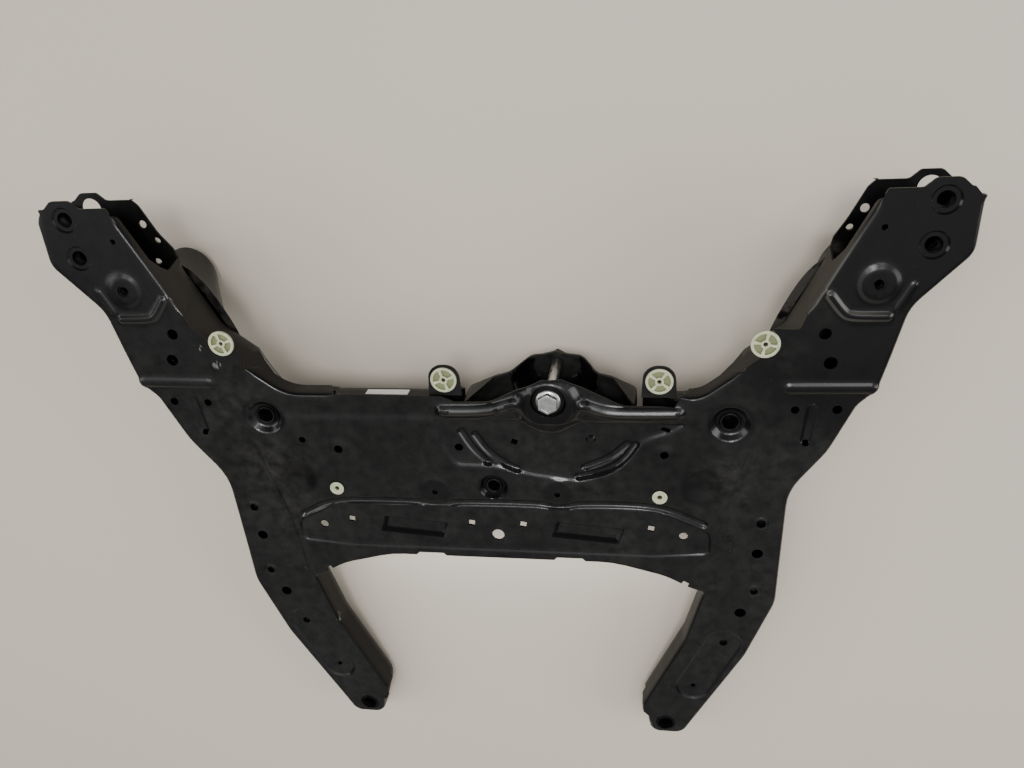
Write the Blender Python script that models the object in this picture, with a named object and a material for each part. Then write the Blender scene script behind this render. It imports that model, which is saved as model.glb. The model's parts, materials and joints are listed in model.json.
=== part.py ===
"""Front subframe of a car: two pressed shells, towers, sleeves, nuts, clips and the torque-rod pocket.

The subframe lies as it would on a bench, underside up. X points across the car, Y to its front and Z
away from the bench. Sizes in this file are millimetres, and places are counted from the round hole in
the middle of the rear band. Each mesh is shifted and turned into metres when it is made, so that the
finished part has its origin on the bench, below its middle.
"""

import math
from dataclasses import dataclass, replace

import bmesh
import bpy
import numpy as np
from mathutils.geometry import delaunay_2d_cdt

MM = 0.001

# Sheet metal and fits
SHEET = 2.5
SEAT_GAP = 0.3
SLEEVE_GAP = 0.7
WALL_GAP = 0.5
FOLD_RADIUS = 5.0
CUT_RIM = 1.0

# Places of the fixing points, which the outline, the holes and the sleeves follow
FRONT_BORE_X = 450.0
FRONT_BORE_Y = 408.0
SECOND_BORE_BACK = 43.0
ARM_ROOT_X = 356.0
ARM_ROOT_Y = 206.0
LEG_ROOT_X = 300.0
FOOT_X = 210.0
FOOT_Y = -308.0
FRONT_EDGE_Y = 199.0
REAR_EDGE_Y = -34.0
FRONT_TIP = 21.0
FOOT_TIP = 19.0
TORQUE_X = 72.0
TORQUE_BACK = 2.0
RAIL_BORE_X = 269.0
RAIL_BORE_BACK = 33.0
TOWER_X = 412.0
TOWER_Y = 297.0
OUTER_CLIP_X = 298.0
OUTER_CLIP_Y = 264.0
SMALL_CLIP_X = 195.0
SMALL_CLIP_Y = 67.0
INNER_CLIP_LEFT_X = -46.0
INNER_CLIP_RIGHT_X = 192.0
INNER_CLIP_AHEAD = 18.0

# Levels of the pressed faces
FACE_LEG_Z = -9.0
FACE_REAR_Z = 0.0
FACE_FRONT_Z = 13.0
FACE_ARM_Z = 16.0
BACK_LEG_Z = -56.0
BACK_BEAM_Z = -50.0
BACK_ARM_Z = -38.0
TOWER_TOP_Z = -150.0
LOWER_WALL = 24.0
ARM_WALL = 31.0
MOUTH_WALL = 11.0
MOUTH_END_WALL = 20.0
MOUTH_OVERHANG = 4.5
WALL_OVERLAP = 8.0
BACK_DRAFT = 3.0
FRONT_DRAFT = 10.0
BAND_FLOOR_Z = -2.2
BAND_REAR_STEP = 1.5
BAND_FRONT_STEP = 6.0
BAND_HOLE_MARGIN = 5.0
POCKET_DEPTH = 40.0
POCKET_WALL = 48.0
POCKET_LIP = 9.0
POCKET_LAND = 9.0

# Bores and the pieces that sit in them
FRONT_BORE = 17.0
ARM_COLLAR_OUTER = 28.0
ARM_COLLAR_LENGTH = 9.0
RAIL_BORE = 16.0
CENTRE_BORE = 14.0
FOOT_BORE = 19.0
FOOT_SLEEVE_WALL = 2.6
RAIL_SLEEVE_WALL = 3.0
CENTRE_SLEEVE_WALL = 3.0
SLEEVE_PROUD = 1.2
BOLT_SHANK = 12.0
BOLT_HEAD_FLATS = 21.0
BOLT_HEAD_HEIGHT = 9.0
NUT_HEIGHT = 8.0
TOWER_RADIUS = 34.0
TOWER_WALL = 3.0
TOWER_HOLE = 15.0
TOWER_BASE_LONG = 74.0
TOWER_BASE_WIDE = 41.0
TOWER_FLANGE = 7.0
BIG_CLIP_RADIUS = 15.0
BIG_CLIP_STEM = 4.6
SMALL_CLIP_RADIUS = 8.8
SMALL_CLIP_STEM = 3.6
POCKET_SHEET = 3.0
POCKET_LEFT = TORQUE_X - 102.0
POCKET_RIGHT = TORQUE_X + 96.0
LABEL_X = -116.0
LABEL_LENGTH = 50.0
LABEL_HEIGHT = 12.0
LABEL_THICKNESS = 0.4
BRACKET_SHEET = 2.0

# Mesh fineness
ARC_STEP = math.radians(31.0)
LONGEST_EDGE = 60.0
FACE_GRID = 75.0


@dataclass(frozen=True)
class Rim:
    """A corner or point of a sheet's outline, and how the sheet is folded there."""

    x: float
    y: float
    radius: float = 0.0
    fold: float = 1.0
    wall: float = LOWER_WALL
    draft: float = 0.0


def arm(along, across):
    """Point on an arm: along is 0 at its root and 1 at the front bore, across is outward in mm."""
    x = ARM_ROOT_X + (FRONT_BORE_X - ARM_ROOT_X) * along + across
    return x, ARM_ROOT_Y + (FRONT_BORE_Y - ARM_ROOT_Y) * along


def leg(along, across):
    """Point on a leg: along is 0 level with the middle of the rear band and 1 at the foot bore."""
    return LEG_ROOT_X + (FOOT_X - LEG_ROOT_X) * along + across, FOOT_Y * along


def front(x, back):
    """Point on the cross beam, measured back from its front edge."""
    return x, FRONT_EDGE_Y - back


def rear(x, ahead):
    """Point on the cross beam, measured ahead of its rear edge."""
    return x, REAR_EDGE_Y + ahead


def second_bore():
    """Centre of the second arm bore, a little way back along the arm."""
    return arm(1.0 - SECOND_BORE_BACK / (FRONT_BORE_Y - ARM_ROOT_Y), 15.5)


def torque_bolt():
    """Centre of the torque-rod bolt."""
    return front(TORQUE_X, TORQUE_BACK)


def rail_bore():
    """Centre of the large stepped bore beside each arm root."""
    return front(RAIL_BORE_X, RAIL_BORE_BACK)


def centre_bore():
    """Centre of the stepped bore near the middle of the beam."""
    return rear(0.0, 107.0)


def arm_boss():
    """Centre of the raised boss on an arm."""
    return arm(0.6, -11.9)


def leg_nuts():
    """Centres of the three holes with weld nuts on a leg, from the front."""
    return leg(-0.107, 1.4), leg(0.224, 30.2), leg(0.516, 25.4)


def cross_nuts():
    """Centres of the two raised discs with weld nuts on the beam."""
    return rear(-72.0, 99.0), rear(76.0, 100.0)


# Outline tools

def blend(a, b, share):
    """Outline point between two others."""
    names = ("x", "y", "radius", "fold", "wall", "draft")
    return Rim(*(getattr(a, name) * (1 - share) + getattr(b, name) * share for name in names))


def rounded(corners):
    """Closed outline with each corner that has a radius turned into a short run of arc points."""
    points = []
    for index, corner in enumerate(corners):
        before, after = corners[index - 1], corners[(index + 1) % len(corners)]
        if corner.radius <= 0:
            points.append(corner)
            continue
        into = np.array([before.x - corner.x, before.y - corner.y], float)
        out = np.array([after.x - corner.x, after.y - corner.y], float)
        room = 0.5 * min(np.hypot(*into), np.hypot(*out))
        into /= np.hypot(*into)
        out /= np.hypot(*out)
        opening = math.acos(float(np.clip(into @ out, -1, 1)))
        turn = math.pi - opening
        reach = min(corner.radius * math.tan(turn / 2), room)
        radius = reach / math.tan(turn / 2)
        middle = (into + out) / np.hypot(*(into + out)) * radius / math.sin(opening / 2)
        centre = np.array([corner.x, corner.y]) + middle
        first = np.array([corner.x, corner.y]) + into * reach - centre
        side = np.sign(first[0] * out[1] - first[1] * out[0])
        steps = max(1, math.ceil(turn / ARC_STEP))
        for step in range(steps + 1):
            angle = side * turn * step / steps
            c, s = math.cos(angle), math.sin(angle)
            spot = centre + (c * first[0] - s * first[1], s * first[0] + c * first[1])
            points.append(replace(corner, x=float(spot[0]), y=float(spot[1])))
    pairs = zip(points, points[-1:] + points)
    return [p for p, before in pairs if math.hypot(p.x - before.x, p.y - before.y) > 0.4]


def evenly(rims):
    """The same outline with its long edges split, so that folds follow the sheet's height."""
    points = []
    for a, b in zip(rims, rims[1:] + rims[:1]):
        parts = max(1, math.ceil(math.hypot(b.x - a.x, b.y - a.y) / LONGEST_EDGE))
        points += [blend(a, b, part / parts) for part in range(parts)]
    return points


def corner_offsets(points):
    """For each corner of an anticlockwise loop, the move that shifts both its edges inward by 1 mm."""
    edges = np.roll(points, -1, axis=0) - points
    edges /= np.maximum(np.linalg.norm(edges, axis=1), 1e-9)[:, None]
    normals = np.stack([-edges[:, 1], edges[:, 0]], axis=1)
    total = normals + np.roll(normals, 1, axis=0)
    return total / np.maximum((total * total).sum(1) / 2, 0.25)[:, None]


def inset(rims, distance):
    """The outline moved inward by one distance everywhere."""
    points = np.array([(rim.x, rim.y) for rim in rims])
    moved = points + corner_offsets(points) * distance
    return [replace(rim, x=float(x), y=float(y)) for rim, (x, y) in zip(rims, moved)]


def mirrored(corners):
    """The same corners on the other side of the plane of symmetry."""
    return [replace(corner, x=-corner.x) for corner in corners]


def circle(centre, radius, count=12, turn=0.0):
    """Points of a circle."""
    angles = [turn + 2 * math.pi * k / count for k in range(count)]
    return np.array([(centre[0] + radius * math.cos(a), centre[1] + radius * math.sin(a)) for a in angles])


def box_loop(centre, width, height):
    """Corners of an upright rectangle."""
    w, h = width / 2, height / 2
    return np.array([(centre[0] + a * w, centre[1] + b * h) for a, b in ((-1, -1), (1, -1), (1, 1), (-1, 1))])


def inside(loop, points):
    """Which points lie inside a closed anticlockwise loop."""
    x, y = points[:, 0], points[:, 1]
    turns = np.zeros(len(points), int)
    for (x1, y1), (x2, y2) in zip(loop, np.roll(loop, -1, axis=0)):
        if y1 != y2:
            crosses = ((y1 > y) != (y2 > y)) & (x < (x2 - x1) * (y - y1) / (y2 - y1) + x1)
            turns += np.where(crosses, 1 if y2 > y1 else -1, 0)
    return turns > 0


def distance_to(path, points, closed):
    """Distance from each point to a path of straight runs."""
    path = np.asarray(path, float)
    ends = np.roll(path, -1, axis=0) if closed else path[1:]
    starts = path if closed else path[:-1]
    if len(path) == 1:
        return np.linalg.norm(points - path[0], axis=1)
    best = np.full(len(points), np.inf)
    for a, b in zip(starts, ends):
        run = b - a
        share = np.clip((points - a) @ run / max(run @ run, 1e-9), 0, 1)
        best = np.minimum(best, np.linalg.norm(points - a - share[:, None] * run, axis=1))
    return best


# Forms pressed into a sheet

@dataclass(frozen=True)
class Bead:
    """A round dimple, or a bead along a path: floor is its flat half width, wall its sloping side."""

    path: tuple
    floor: float
    wall: float
    height: float
    sides: int = 12

    def rise(self, points):
        """Height added at each point."""
        away = distance_to(self.path, points, False)
        return self.height * np.clip((self.floor + self.wall - away) / self.wall, 0, 1)

    def loops(self):
        """Its foot and the edge of its floor, or its middle line where the floor is narrow."""
        foot = (self.ring(self.floor + self.wall), True)
        if len(self.path) > 1 and self.floor < 4.0:
            return [foot, (np.array(self.path, float), False)]
        return [foot, (self.ring(self.floor), True)]

    def ring(self, radius):
        """Loop at one distance round the path."""
        path = np.array(self.path, float)
        if len(path) == 1:
            return circle(path[0], radius, self.sides)
        runs = np.diff(path, axis=0)
        runs /= np.linalg.norm(runs, axis=1)[:, None]
        left = np.stack([-runs[:, 1], runs[:, 0]], axis=1)
        joints = [left[0]] + [(a + b) / (1 + a @ b) for a, b in zip(left, left[1:])] + [left[-1]]
        one = [p + n * radius for p, n in zip(path, joints)]
        other = [p - n * radius for p, n in zip(path, joints)]
        reach = radius * math.sqrt(0.5)
        start, end = path[0] - runs[0] * reach, path[-1] + runs[-1] * reach
        near, far = left[0] * reach, left[-1] * reach
        return np.array([start + near, *one, end + far, end - far, *reversed(other), start - near])


@dataclass(frozen=True)
class Area:
    """A field with straight sides, raised or sunk inside its outline.

    slope is added to its height for each mm ahead of its first corner.
    """

    corners: tuple
    wall: float
    height: float
    slope: float = 0.0

    def outline(self):
        """Rounded outline of the field."""
        return rounded([Rim(x, y, r) for x, y, r in self.corners])

    def rise(self, points):
        """Height added at each point."""
        loop = np.array([(rim.x, rim.y) for rim in self.outline()])
        depth = distance_to(loop, points, True)
        height = self.height + self.slope * (points[:, 1] - self.corners[0][1])
        return np.where(inside(loop, points), height * np.clip(depth / self.wall, 0, 1), 0)

    def loops(self):
        """Loops at the foot and at the edge of the floor of the form."""
        outer = self.outline()
        floor = inset(outer, self.wall)
        return [(np.array([(rim.x, rim.y) for rim in rims]), True) for rims in (outer, floor)]


def level(stations, points):
    """Height of an unformed sheet, from its levels at a few stations along Y."""
    return np.interp(points[:, 1], [s[0] for s in stations], [s[1] for s in stations])


class Pressing:
    """A pressed sheet: a face with forms and holes, and a folded wall round its outline."""

    def __init__(self, rims, stations, forms, holes, side, thickness, wall_top=None, creases=()):
        self.rims = rims
        self.stations = stations
        self.forms = forms
        self.holes = holes
        self.side = side
        self.thickness = thickness
        self.wall_top = wall_top
        self.creases = creases

    def height(self, points):
        """Level of the outer skin at each point."""
        points = np.atleast_2d(np.asarray(points, float))
        return level(self.stations, points) + sum(form.rise(points) for form in self.forms)

    def around(self, spot, radius):
        """Levels of the outer skin at a point and on two circles round it."""
        rings = [circle(spot, radius * share, 12) for share in (0.5, 1.0)]
        return self.height(np.vstack([[spot], *rings]))

    def above(self, spot, radius):
        """Level just clear of the outer skin over a round footprint."""
        return float(self.around(spot, radius).max()) + SEAT_GAP

    def within(self, spot, radius):
        """Level just clear of the inner skin, on the inner side of a round footprint."""
        levels = self.around(spot, radius) * self.side
        return self.side * (float(levels.min()) - self.thickness - SEAT_GAP)

    def face_loop(self):
        """Loop where the flat face meets the fold, or the cut rim where there is no fold."""
        points = np.array([(rim.x, rim.y) for rim in self.rims])
        reach = np.array([CUT_RIM + rim.fold * (rim.draft + FOLD_RADIUS - CUT_RIM) for rim in self.rims])
        return points + corner_offsets(points) * reach[:, None]

    def triangulate(self):
        """Points and triangles of the face."""
        edge = self.face_loop()
        low, high = edge.min(0), edge.max(0)
        loops = [(edge, True), *((hole, True) for hole in self.holes)]
        for form in self.forms:
            loops += form.loops()
        loops += [(np.array([(low[0] - 9, y), (high[0] + 9, y)]), False) for y in self.creases]
        coords, links = [], []
        for loop, closed in loops:
            first = len(coords)
            coords += [tuple(p) for p in loop]
            count = len(loop)
            links += [(first + k, first + (k + 1) % count) for k in range(count if closed else count - 1)]
        taken = np.array(coords)
        for row, y in enumerate(np.arange(low[1] + FACE_GRID / 2, high[1], FACE_GRID * 0.87)):
            for x in np.arange(low[0] + FACE_GRID * (0.5 + 0.5 * (row % 2)), high[0], FACE_GRID):
                if np.min(np.abs(taken - (x, y)).max(1)) > FACE_GRID * 0.4:
                    coords.append((x, y))
        flat, _, tris, _, _, _ = delaunay_2d_cdt(coords, links, [], 0, 0.02)
        flat = np.array([tuple(p) for p in flat])
        tris = np.array([t for t in tris if len(t) == 3])
        centres = flat[tris].mean(1)
        keep = inside(edge, centres)
        for hole in self.holes:
            keep &= ~inside(hole, centres)
        spans = flat[tris]
        first, second = spans[:, 1] - spans[:, 0], spans[:, 2] - spans[:, 0]
        area = first[:, 0] * second[:, 1] - first[:, 1] * second[:, 0]
        keep &= np.abs(area) > 1e-4
        tris = tris[keep]
        flip = area[keep] < 0
        tris[flip] = tris[flip][:, ::-1]
        return flat, tris, edge

    def place_on_edge(self, edge, point):
        """Where a point of the face loop lies on the outline, as an outline point."""
        ends = np.roll(edge, -1, axis=0)
        runs = ends - edge
        share = np.clip(((point - edge) * runs).sum(1) / np.maximum((runs * runs).sum(1), 1e-9), 0, 1)
        away = np.linalg.norm(edge + share[:, None] * runs - point, axis=1)
        index = int(np.argmin(away))
        after = self.rims[(index + 1) % len(self.rims)]
        return blend(self.rims[index], after, float(share[index]))

    def column(self, rim, point, z):
        """Points from the face loop over the fold and down the wall, for one outline point."""
        outer = np.array([rim.x, rim.y])
        away = outer - point
        reach = max(float(np.hypot(*away)), 1e-6)
        away = away / reach
        bend = FOLD_RADIUS
        end = z - self.side * rim.wall if self.wall_top is None else self.wall_top(rim, z)
        bottom = z - self.side * bend
        folded_reach = max(reach, bend + 1e-6)
        slant = folded_reach - bend
        knee = bottom - self.side * min(slant * 1.6, abs(end - bottom) * 0.75)
        folded = [(bend, bottom), (folded_reach, end)]
        if self.wall_top is None:
            folded.insert(0, (bend * 0.707, z - self.side * bend * 0.293))
        else:
            folded.insert(1, (folded_reach, knee))
        rows = []
        for index, (out, height) in enumerate(folded):
            share = (index + 1) / len(folded)
            wide = out * rim.fold + reach * share * (1 - rim.fold)
            if index == len(folded) - 1:
                wide = reach
            rows.append((*(point + away * wide), height * rim.fold + z * (1 - rim.fold)))
        return rows

    def build(self, name, material):
        """Make the sheet as one closed body."""
        flat, tris, edge = self.triangulate()
        heights = self.height(flat)
        used = np.unique(tris)
        mesh = bmesh.new()
        verts = {int(i): mesh.verts.new((*flat[i], heights[i])) for i in used}
        for tri in tris:
            mesh.faces.new([verts[int(i)] for i in tri][:: self.side])
        mesh.verts.index_update()
        number = {vert: i for i, vert in verts.items()}
        border = [e for e in mesh.edges if len(e.link_faces) == 1]
        rim_edges = [e for e in border if self.on_outline(edge, flat, [number[v] for v in e.verts])]
        columns = {}
        for vert in {v for e in rim_edges for v in e.verts}:
            point = flat[number[vert]]
            rows = self.column(self.place_on_edge(edge, point), point, heights[number[vert]])
            columns[vert] = [vert, *(mesh.verts.new(row) for row in rows)]
        for link in rim_edges:
            loop = link.link_loops[0]
            a, b = loop.vert, loop.link_loop_next.vert
            for (a1, a2), (b1, b2) in zip(zip(columns[a], columns[a][1:]), zip(columns[b], columns[b][1:])):
                mesh.faces.new((b1, a1, a2, b2))
        thing = finish(mesh, name, material)
        thicken = thing.modifiers.new("sheet", "SOLIDIFY")
        thicken.thickness = self.thickness * MM
        thicken.offset = -1.0
        return thing

    @staticmethod
    def on_outline(edge, flat, ends):
        """Whether a border edge belongs to the outline and not to a hole."""
        return bool(np.all(distance_to(edge, flat[ends], True) < 0.05))


# Solid pieces

def finish(mesh, name, material, smooth=True):
    """Turn a bmesh in millimetres into a named object on the bench, with its material."""
    middle = (FRONT_BORE_Y + FRONT_TIP + FOOT_Y - FOOT_TIP) / 2
    bmesh.ops.translate(mesh, vec=(0.0, -middle, -TOWER_TOP_Z), verts=mesh.verts)
    bmesh.ops.scale(mesh, vec=(MM, MM, MM), verts=mesh.verts)
    data = bpy.data.meshes.new(name)
    mesh.to_mesh(data)
    mesh.free()
    thing = bpy.data.objects.new(name, data)
    bpy.context.collection.objects.link(thing)
    data.materials.append(material)
    if smooth:
        data.shade_smooth()
        data.set_sharp_from_angle(angle=math.radians(35))
    return thing


def ring_points(centre, radius, count, hexagon):
    """One level of a turned or hexagonal body."""
    points = []
    for k in range(count):
        angle = 2 * math.pi * k / count
        reach = radius
        if hexagon:
            reach = radius / math.cos((angle + math.pi / 6) % (math.pi / 3) - math.pi / 6)
        points.append((centre[0] + reach * math.cos(angle), centre[1] + reach * math.sin(angle)))
    return points


def stacked(name, centre, levels, material, count=12):
    """A body of stacked levels (z, radius, hexagon), from its top down its outside.

    When the last level repeats the first, the body is a ring, and otherwise its two ends are capped.
    """
    mesh = bmesh.new()
    closed = levels[0] == levels[-1]
    body = levels[:-1] if closed else levels
    rings = []
    for z, radius, hexagon in body:
        rings.append([mesh.verts.new((x, y, z)) for x, y in ring_points(centre, radius, count, hexagon)])
    pairs = list(zip(rings, rings[1:])) + ([(rings[-1], rings[0])] if closed else [])
    for upper, lower in pairs:
        for k in range(count):
            n = (k + 1) % count
            mesh.faces.new((upper[k], lower[k], lower[n], upper[n]))
    if not closed:
        mesh.faces.new(rings[0])
        mesh.faces.new(rings[-1][::-1])
    bmesh.ops.triangulate(mesh, faces=mesh.faces)
    return finish(mesh, name, material)


def sleeve(name, centre, top, bottom, outer, inner, material, count=14, chamfer=0.8):
    """A plain tube with chamfered ends."""
    levels = [(top, outer - chamfer, False), (top - chamfer, outer, False), (bottom + chamfer, outer, False),
              (bottom, outer - chamfer, False), (bottom, inner, False), (top, inner, False)]
    return stacked(name, centre, [*levels, levels[0]], material, count)


def nut(name, centre, top, height, flats, bore, material):
    """A hexagonal weld nut."""
    half = flats / 2
    levels = [(top, half, True), (top - height, half, True), (top - height, bore, False), (top, bore, False)]
    return stacked(name, centre, [*levels, levels[0]], material)


def big_clip(name, centre, top, material):
    """A push clip: a disc with a raised rim, four spokes and a hollow boss, on a barbed stem."""
    spoke = math.radians(13)
    draft = math.radians(8)
    angles, sunk = [], []
    for quarter in range(4):
        base = quarter * math.pi / 2 + math.radians(20)
        angles += [base - spoke, base + spoke, base + spoke + draft, base + math.pi / 2 - spoke - draft]
        sunk += [False, False, True, True]
    floor = top - 2.2
    radii = [(2.4, top - 5.0, top - 5.0), (2.4, top - 0.3, top - 0.3),
             (4.6, top - 0.3, top - 0.3), (5.4, top, floor),
             (BIG_CLIP_RADIUS - 3.6, top, floor), (BIG_CLIP_RADIUS - 2.8, top, top),
             (BIG_CLIP_RADIUS - 0.6, top, top), (BIG_CLIP_RADIUS, top - 0.8, top - 0.8),
             (BIG_CLIP_RADIUS - 0.4, top - 3.4, top - 3.4), (BIG_CLIP_STEM, top - 3.4, top - 3.4),
             (BIG_CLIP_STEM, top - 8.0, top - 8.0), (BIG_CLIP_STEM - 1.8, top - 15.0, top - 15.0)]
    mesh = bmesh.new()
    rings = []
    for radius, ridge, low in radii:
        ring = [(centre[0] + radius * math.cos(a), centre[1] + radius * math.sin(a), low if deep else ridge)
                for a, deep in zip(angles, sunk)]
        rings.append([mesh.verts.new(point) for point in ring])
    count = len(angles)
    for inner, outer in zip(rings, rings[1:]):
        for k in range(count):
            n = (k + 1) % count
            mesh.faces.new((inner[k], outer[k], outer[n], inner[n]))
    mesh.faces.new(rings[0])
    mesh.faces.new(rings[-1][::-1])
    bmesh.ops.triangulate(mesh, faces=mesh.faces)
    return finish(mesh, name, material)


def small_clip(name, centre, top, material):
    """A small round plug with a dished head."""
    outer = SMALL_CLIP_RADIUS
    levels = [(top - 1.6, 2.2, False), (top, 3.4, False),
              (top, outer - 1.2, False), (top - 1.0, outer, False),
              (top - 2.4, outer - 0.5, False), (top - 2.4, SMALL_CLIP_STEM, False),
              (top - 11.0, SMALL_CLIP_STEM - 1.2, False)]
    return stacked(name, centre, levels, material, 14)


def plate(name, loop, holes, top, thickness, material):
    """A flat plate cut to an outline, with holes."""
    rims = [Rim(x, y, 0.0, 0.0) for x, y in loop]
    return Pressing(rims, [(0.0, top)], [], holes, 1, thickness).build(name, material)


def tower(name, side, seat, material):
    """A deep-drawn tower: a hollow stack of sections from a flanged base to a round top with a hole."""
    slope = math.atan2(FRONT_BORE_Y - ARM_ROOT_Y, FRONT_BORE_X - ARM_ROOT_X)
    base_x, base_y = arm(0.27, -14.0)
    count = 24
    flange_share, crown_share = 0.025, 0.9
    walls = (0.03, 0.4, crown_share, 0.97, 1.0)
    mesh = bmesh.new()

    def section(share, shrink):
        """Ring of points at one share of the way from the base to the top."""
        ease = share ** 0.8
        x = base_x + (TOWER_X - base_x) * ease
        y = base_y + (TOWER_Y - base_y) * ease
        crown = 8.0 * max(0.0, (share - crown_share) / (1 - crown_share)) ** 2
        long_reach = TOWER_BASE_LONG + (TOWER_RADIUS - TOWER_BASE_LONG) * ease - crown - shrink
        wide_reach = TOWER_BASE_WIDE + (TOWER_RADIUS - TOWER_BASE_WIDE) * ease - crown - shrink
        z = seat + (TOWER_TOP_Z - seat) * share
        points = []
        for k in range(count):
            angle = 2 * math.pi * k / count
            power = 0.75 + 0.25 * ease
            c, s = math.cos(angle), math.sin(angle)
            along = math.copysign(abs(c) ** power, c) * long_reach
            across = math.copysign(abs(s) ** power, s) * wide_reach
            px = x + along * math.cos(slope) - across * math.sin(slope)
            py = y + along * math.sin(slope) + across * math.cos(slope)
            points.append((px * side, py, z))
        return points

    flange = [section(share, -TOWER_FLANGE) for share in (0.0, flange_share)]
    outer = [*flange, *(section(share, 0.0) for share in walls)]
    inner = [section(share, TOWER_WALL) for share in (0.0, *walls[1:-1])]
    lid = [(x, y, TOWER_TOP_Z + TOWER_WALL) for x, y, _ in section(1.0, TOWER_WALL)]
    turned = [(side * (TOWER_X + TOWER_HOLE / 2 * math.cos(a)), TOWER_Y + TOWER_HOLE / 2 * math.sin(a))
              for a in [slope + 2 * math.pi * k / count for k in range(count)]]
    hole_out = [(x, y, TOWER_TOP_Z) for x, y in turned]
    hole_in = [(x, y, TOWER_TOP_Z + TOWER_WALL) for x, y in turned]
    rings = [[mesh.verts.new(p) for p in ring] for ring in (*outer, hole_out, hole_in, lid, *reversed(inner))]
    for upper, lower in zip(rings, rings[1:] + rings[:1]):
        for k in range(count):
            n = (k + 1) % count
            face = (upper[k], lower[k], lower[n], upper[n])
            mesh.faces.new(face if side > 0 else face[::-1])
    bmesh.ops.triangulate(mesh, faces=mesh.faces)
    return finish(mesh, name, material)


# Outlines of this subframe

def notch(a, b, share, width, depth):
    """Four corners of a small square notch in the edge from a to b, cut to the left of its direction."""
    start, end = np.array(a), np.array(b)
    run = (end - start) / np.hypot(*(end - start))
    into = np.array([-run[1], run[0]])
    middle = start + (end - start) * share
    spots = [middle - run * width / 2, middle - run * width / 2 + into * depth,
             middle + run * width / 2 + into * depth, middle + run * width / 2]
    return [Rim(float(x), float(y), 0.0, 0.0) for x, y in spots]


def side_corners(lower):
    """Corners of the right side, from the rear edge round the leg and the arm to the front edge."""
    wall = LOWER_WALL
    inner_corner = leg(0.253, -27.2)
    lip = rear(205.0, -18.0)
    fine = 1.0 if lower else 0.0
    corners = []
    if lower:
        corners += [Rim(*rear(x, y), 0.0, 0.0) for x, y in ((68, 0), (72, 4), (103, 4), (107, 0))]
    corners += [Rim(*rear(140.0, 0.0), 120.0, 0.0), Rim(*lip, 140.0, 0.0)]
    if lower:
        corners += notch(lip, inner_corner, 0.5, 9.0, 5.0)
    corners += [Rim(*leg(0.233, -36.0), 0.0, 0.0)]
    corners += [Rim(*inner_corner, 6.0, 1.0, wall), Rim(*leg(0.52, -24.2), 60.0, 1.0, wall)]
    corners += [Rim(*leg(0.903, -40.7), 6.0), Rim(*leg(0.942, -35.2), 0.0, 1 - fine, 0.0)]
    corners += [Rim(*leg(0.964, -26.2), 0.0, 1 - fine, 0.0)]
    corners += [Rim(FOOT_X - 21, FOOT_Y - FOOT_TIP, 15.0), Rim(FOOT_X + 23, FOOT_Y - FOOT_TIP, 18.0)]
    corners += [Rim(*leg(0.578, 59.0), 80.0), Rim(*leg(0.286, 62.7), 60.0), Rim(*leg(-0.253, 15.2), 70.0)]
    corners += [Rim(*arm(-0.366, 52.4), 80.0), Rim(*arm(-0.074, 48.0), 25.0), Rim(*arm(0.02, 57.1), 15.0)]
    corners += [Rim(*arm(0.47, 33.8), 45.0), Rim(*arm(0.743, 58.2), 22.0)]
    corners += [Rim(*arm(0.926, 41.1), 0.0), Rim(*arm(0.985, 35.8), 0.0)]
    end = FRONT_BORE_Y + 12.0
    corners += [Rim(FRONT_BORE_X + 35, end, 4.0, 0.0), Rim(FRONT_BORE_X + 21, end, 6.0, 0.0)]
    tip = FRONT_BORE_Y + FRONT_TIP
    corners += [Rim(FRONT_BORE_X + 11, tip, 9.0, 0.0), Rim(FRONT_BORE_X - 11, tip, 9.0, 0.0)]
    corners += [Rim(FRONT_BORE_X - 21, end, 6.0, 0.0), Rim(FRONT_BORE_X - 52, end, 3.0, 0.0)]
    wide = 0.0 if lower else MOUTH_OVERHANG
    corners += [Rim(*arm(1.02, -57.5 - wide), 0.0, 0.0), Rim(*arm(0.98, -57.8 - wide), 0.0, fine, MOUTH_WALL)]
    corners += [Rim(*arm(0.76, -59.4 - wide), 0.0, fine, MOUTH_WALL)]
    corners += [Rim(*arm(0.70, -59.8), 0.0, fine, MOUTH_END_WALL), Rim(*arm(0.66, -60.0), 0.0, 1.0, ARM_WALL)]
    clip_x, clip_y, ear = OUTER_CLIP_X, OUTER_CLIP_Y, BIG_CLIP_RADIUS + 2.0
    if lower:
        corners += [Rim(*arm(0.50, -60.6), 0.0, 1.0, ARM_WALL), Rim(*arm(0.44, -60.8), 0.0, 0.0)]
        corners += [Rim(clip_x + 33, clip_y + 15, 4.0, 0.0), Rim(clip_x - ear, clip_y + ear, ear - 1, 0.0)]
        corners += [Rim(clip_x - ear, clip_y - 31, 6.0, 0.0), Rim(clip_x - 30, clip_y - 39.5, 0.0, 1.0, wall)]
    else:
        corners += [Rim(*arm(0.46, -60.7), 0.0, 1.0, ARM_WALL), Rim(*arm(0.41, -61.0), 0.0, 1.0, 0.0)]
        corners += [Rim(*arm(0.30, -62.0), 16.0, 1.0, 0.0), Rim(clip_x - 15, clip_y - 28.0, 0.0, 1.0, 0.0)]
        corners += [Rim(clip_x - 28, clip_y - 38.0, 0.0, 1.0, wall)]
    return [*corners, Rim(*front(236.0, 0.0), 50.0, 1.0, wall)]


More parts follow.
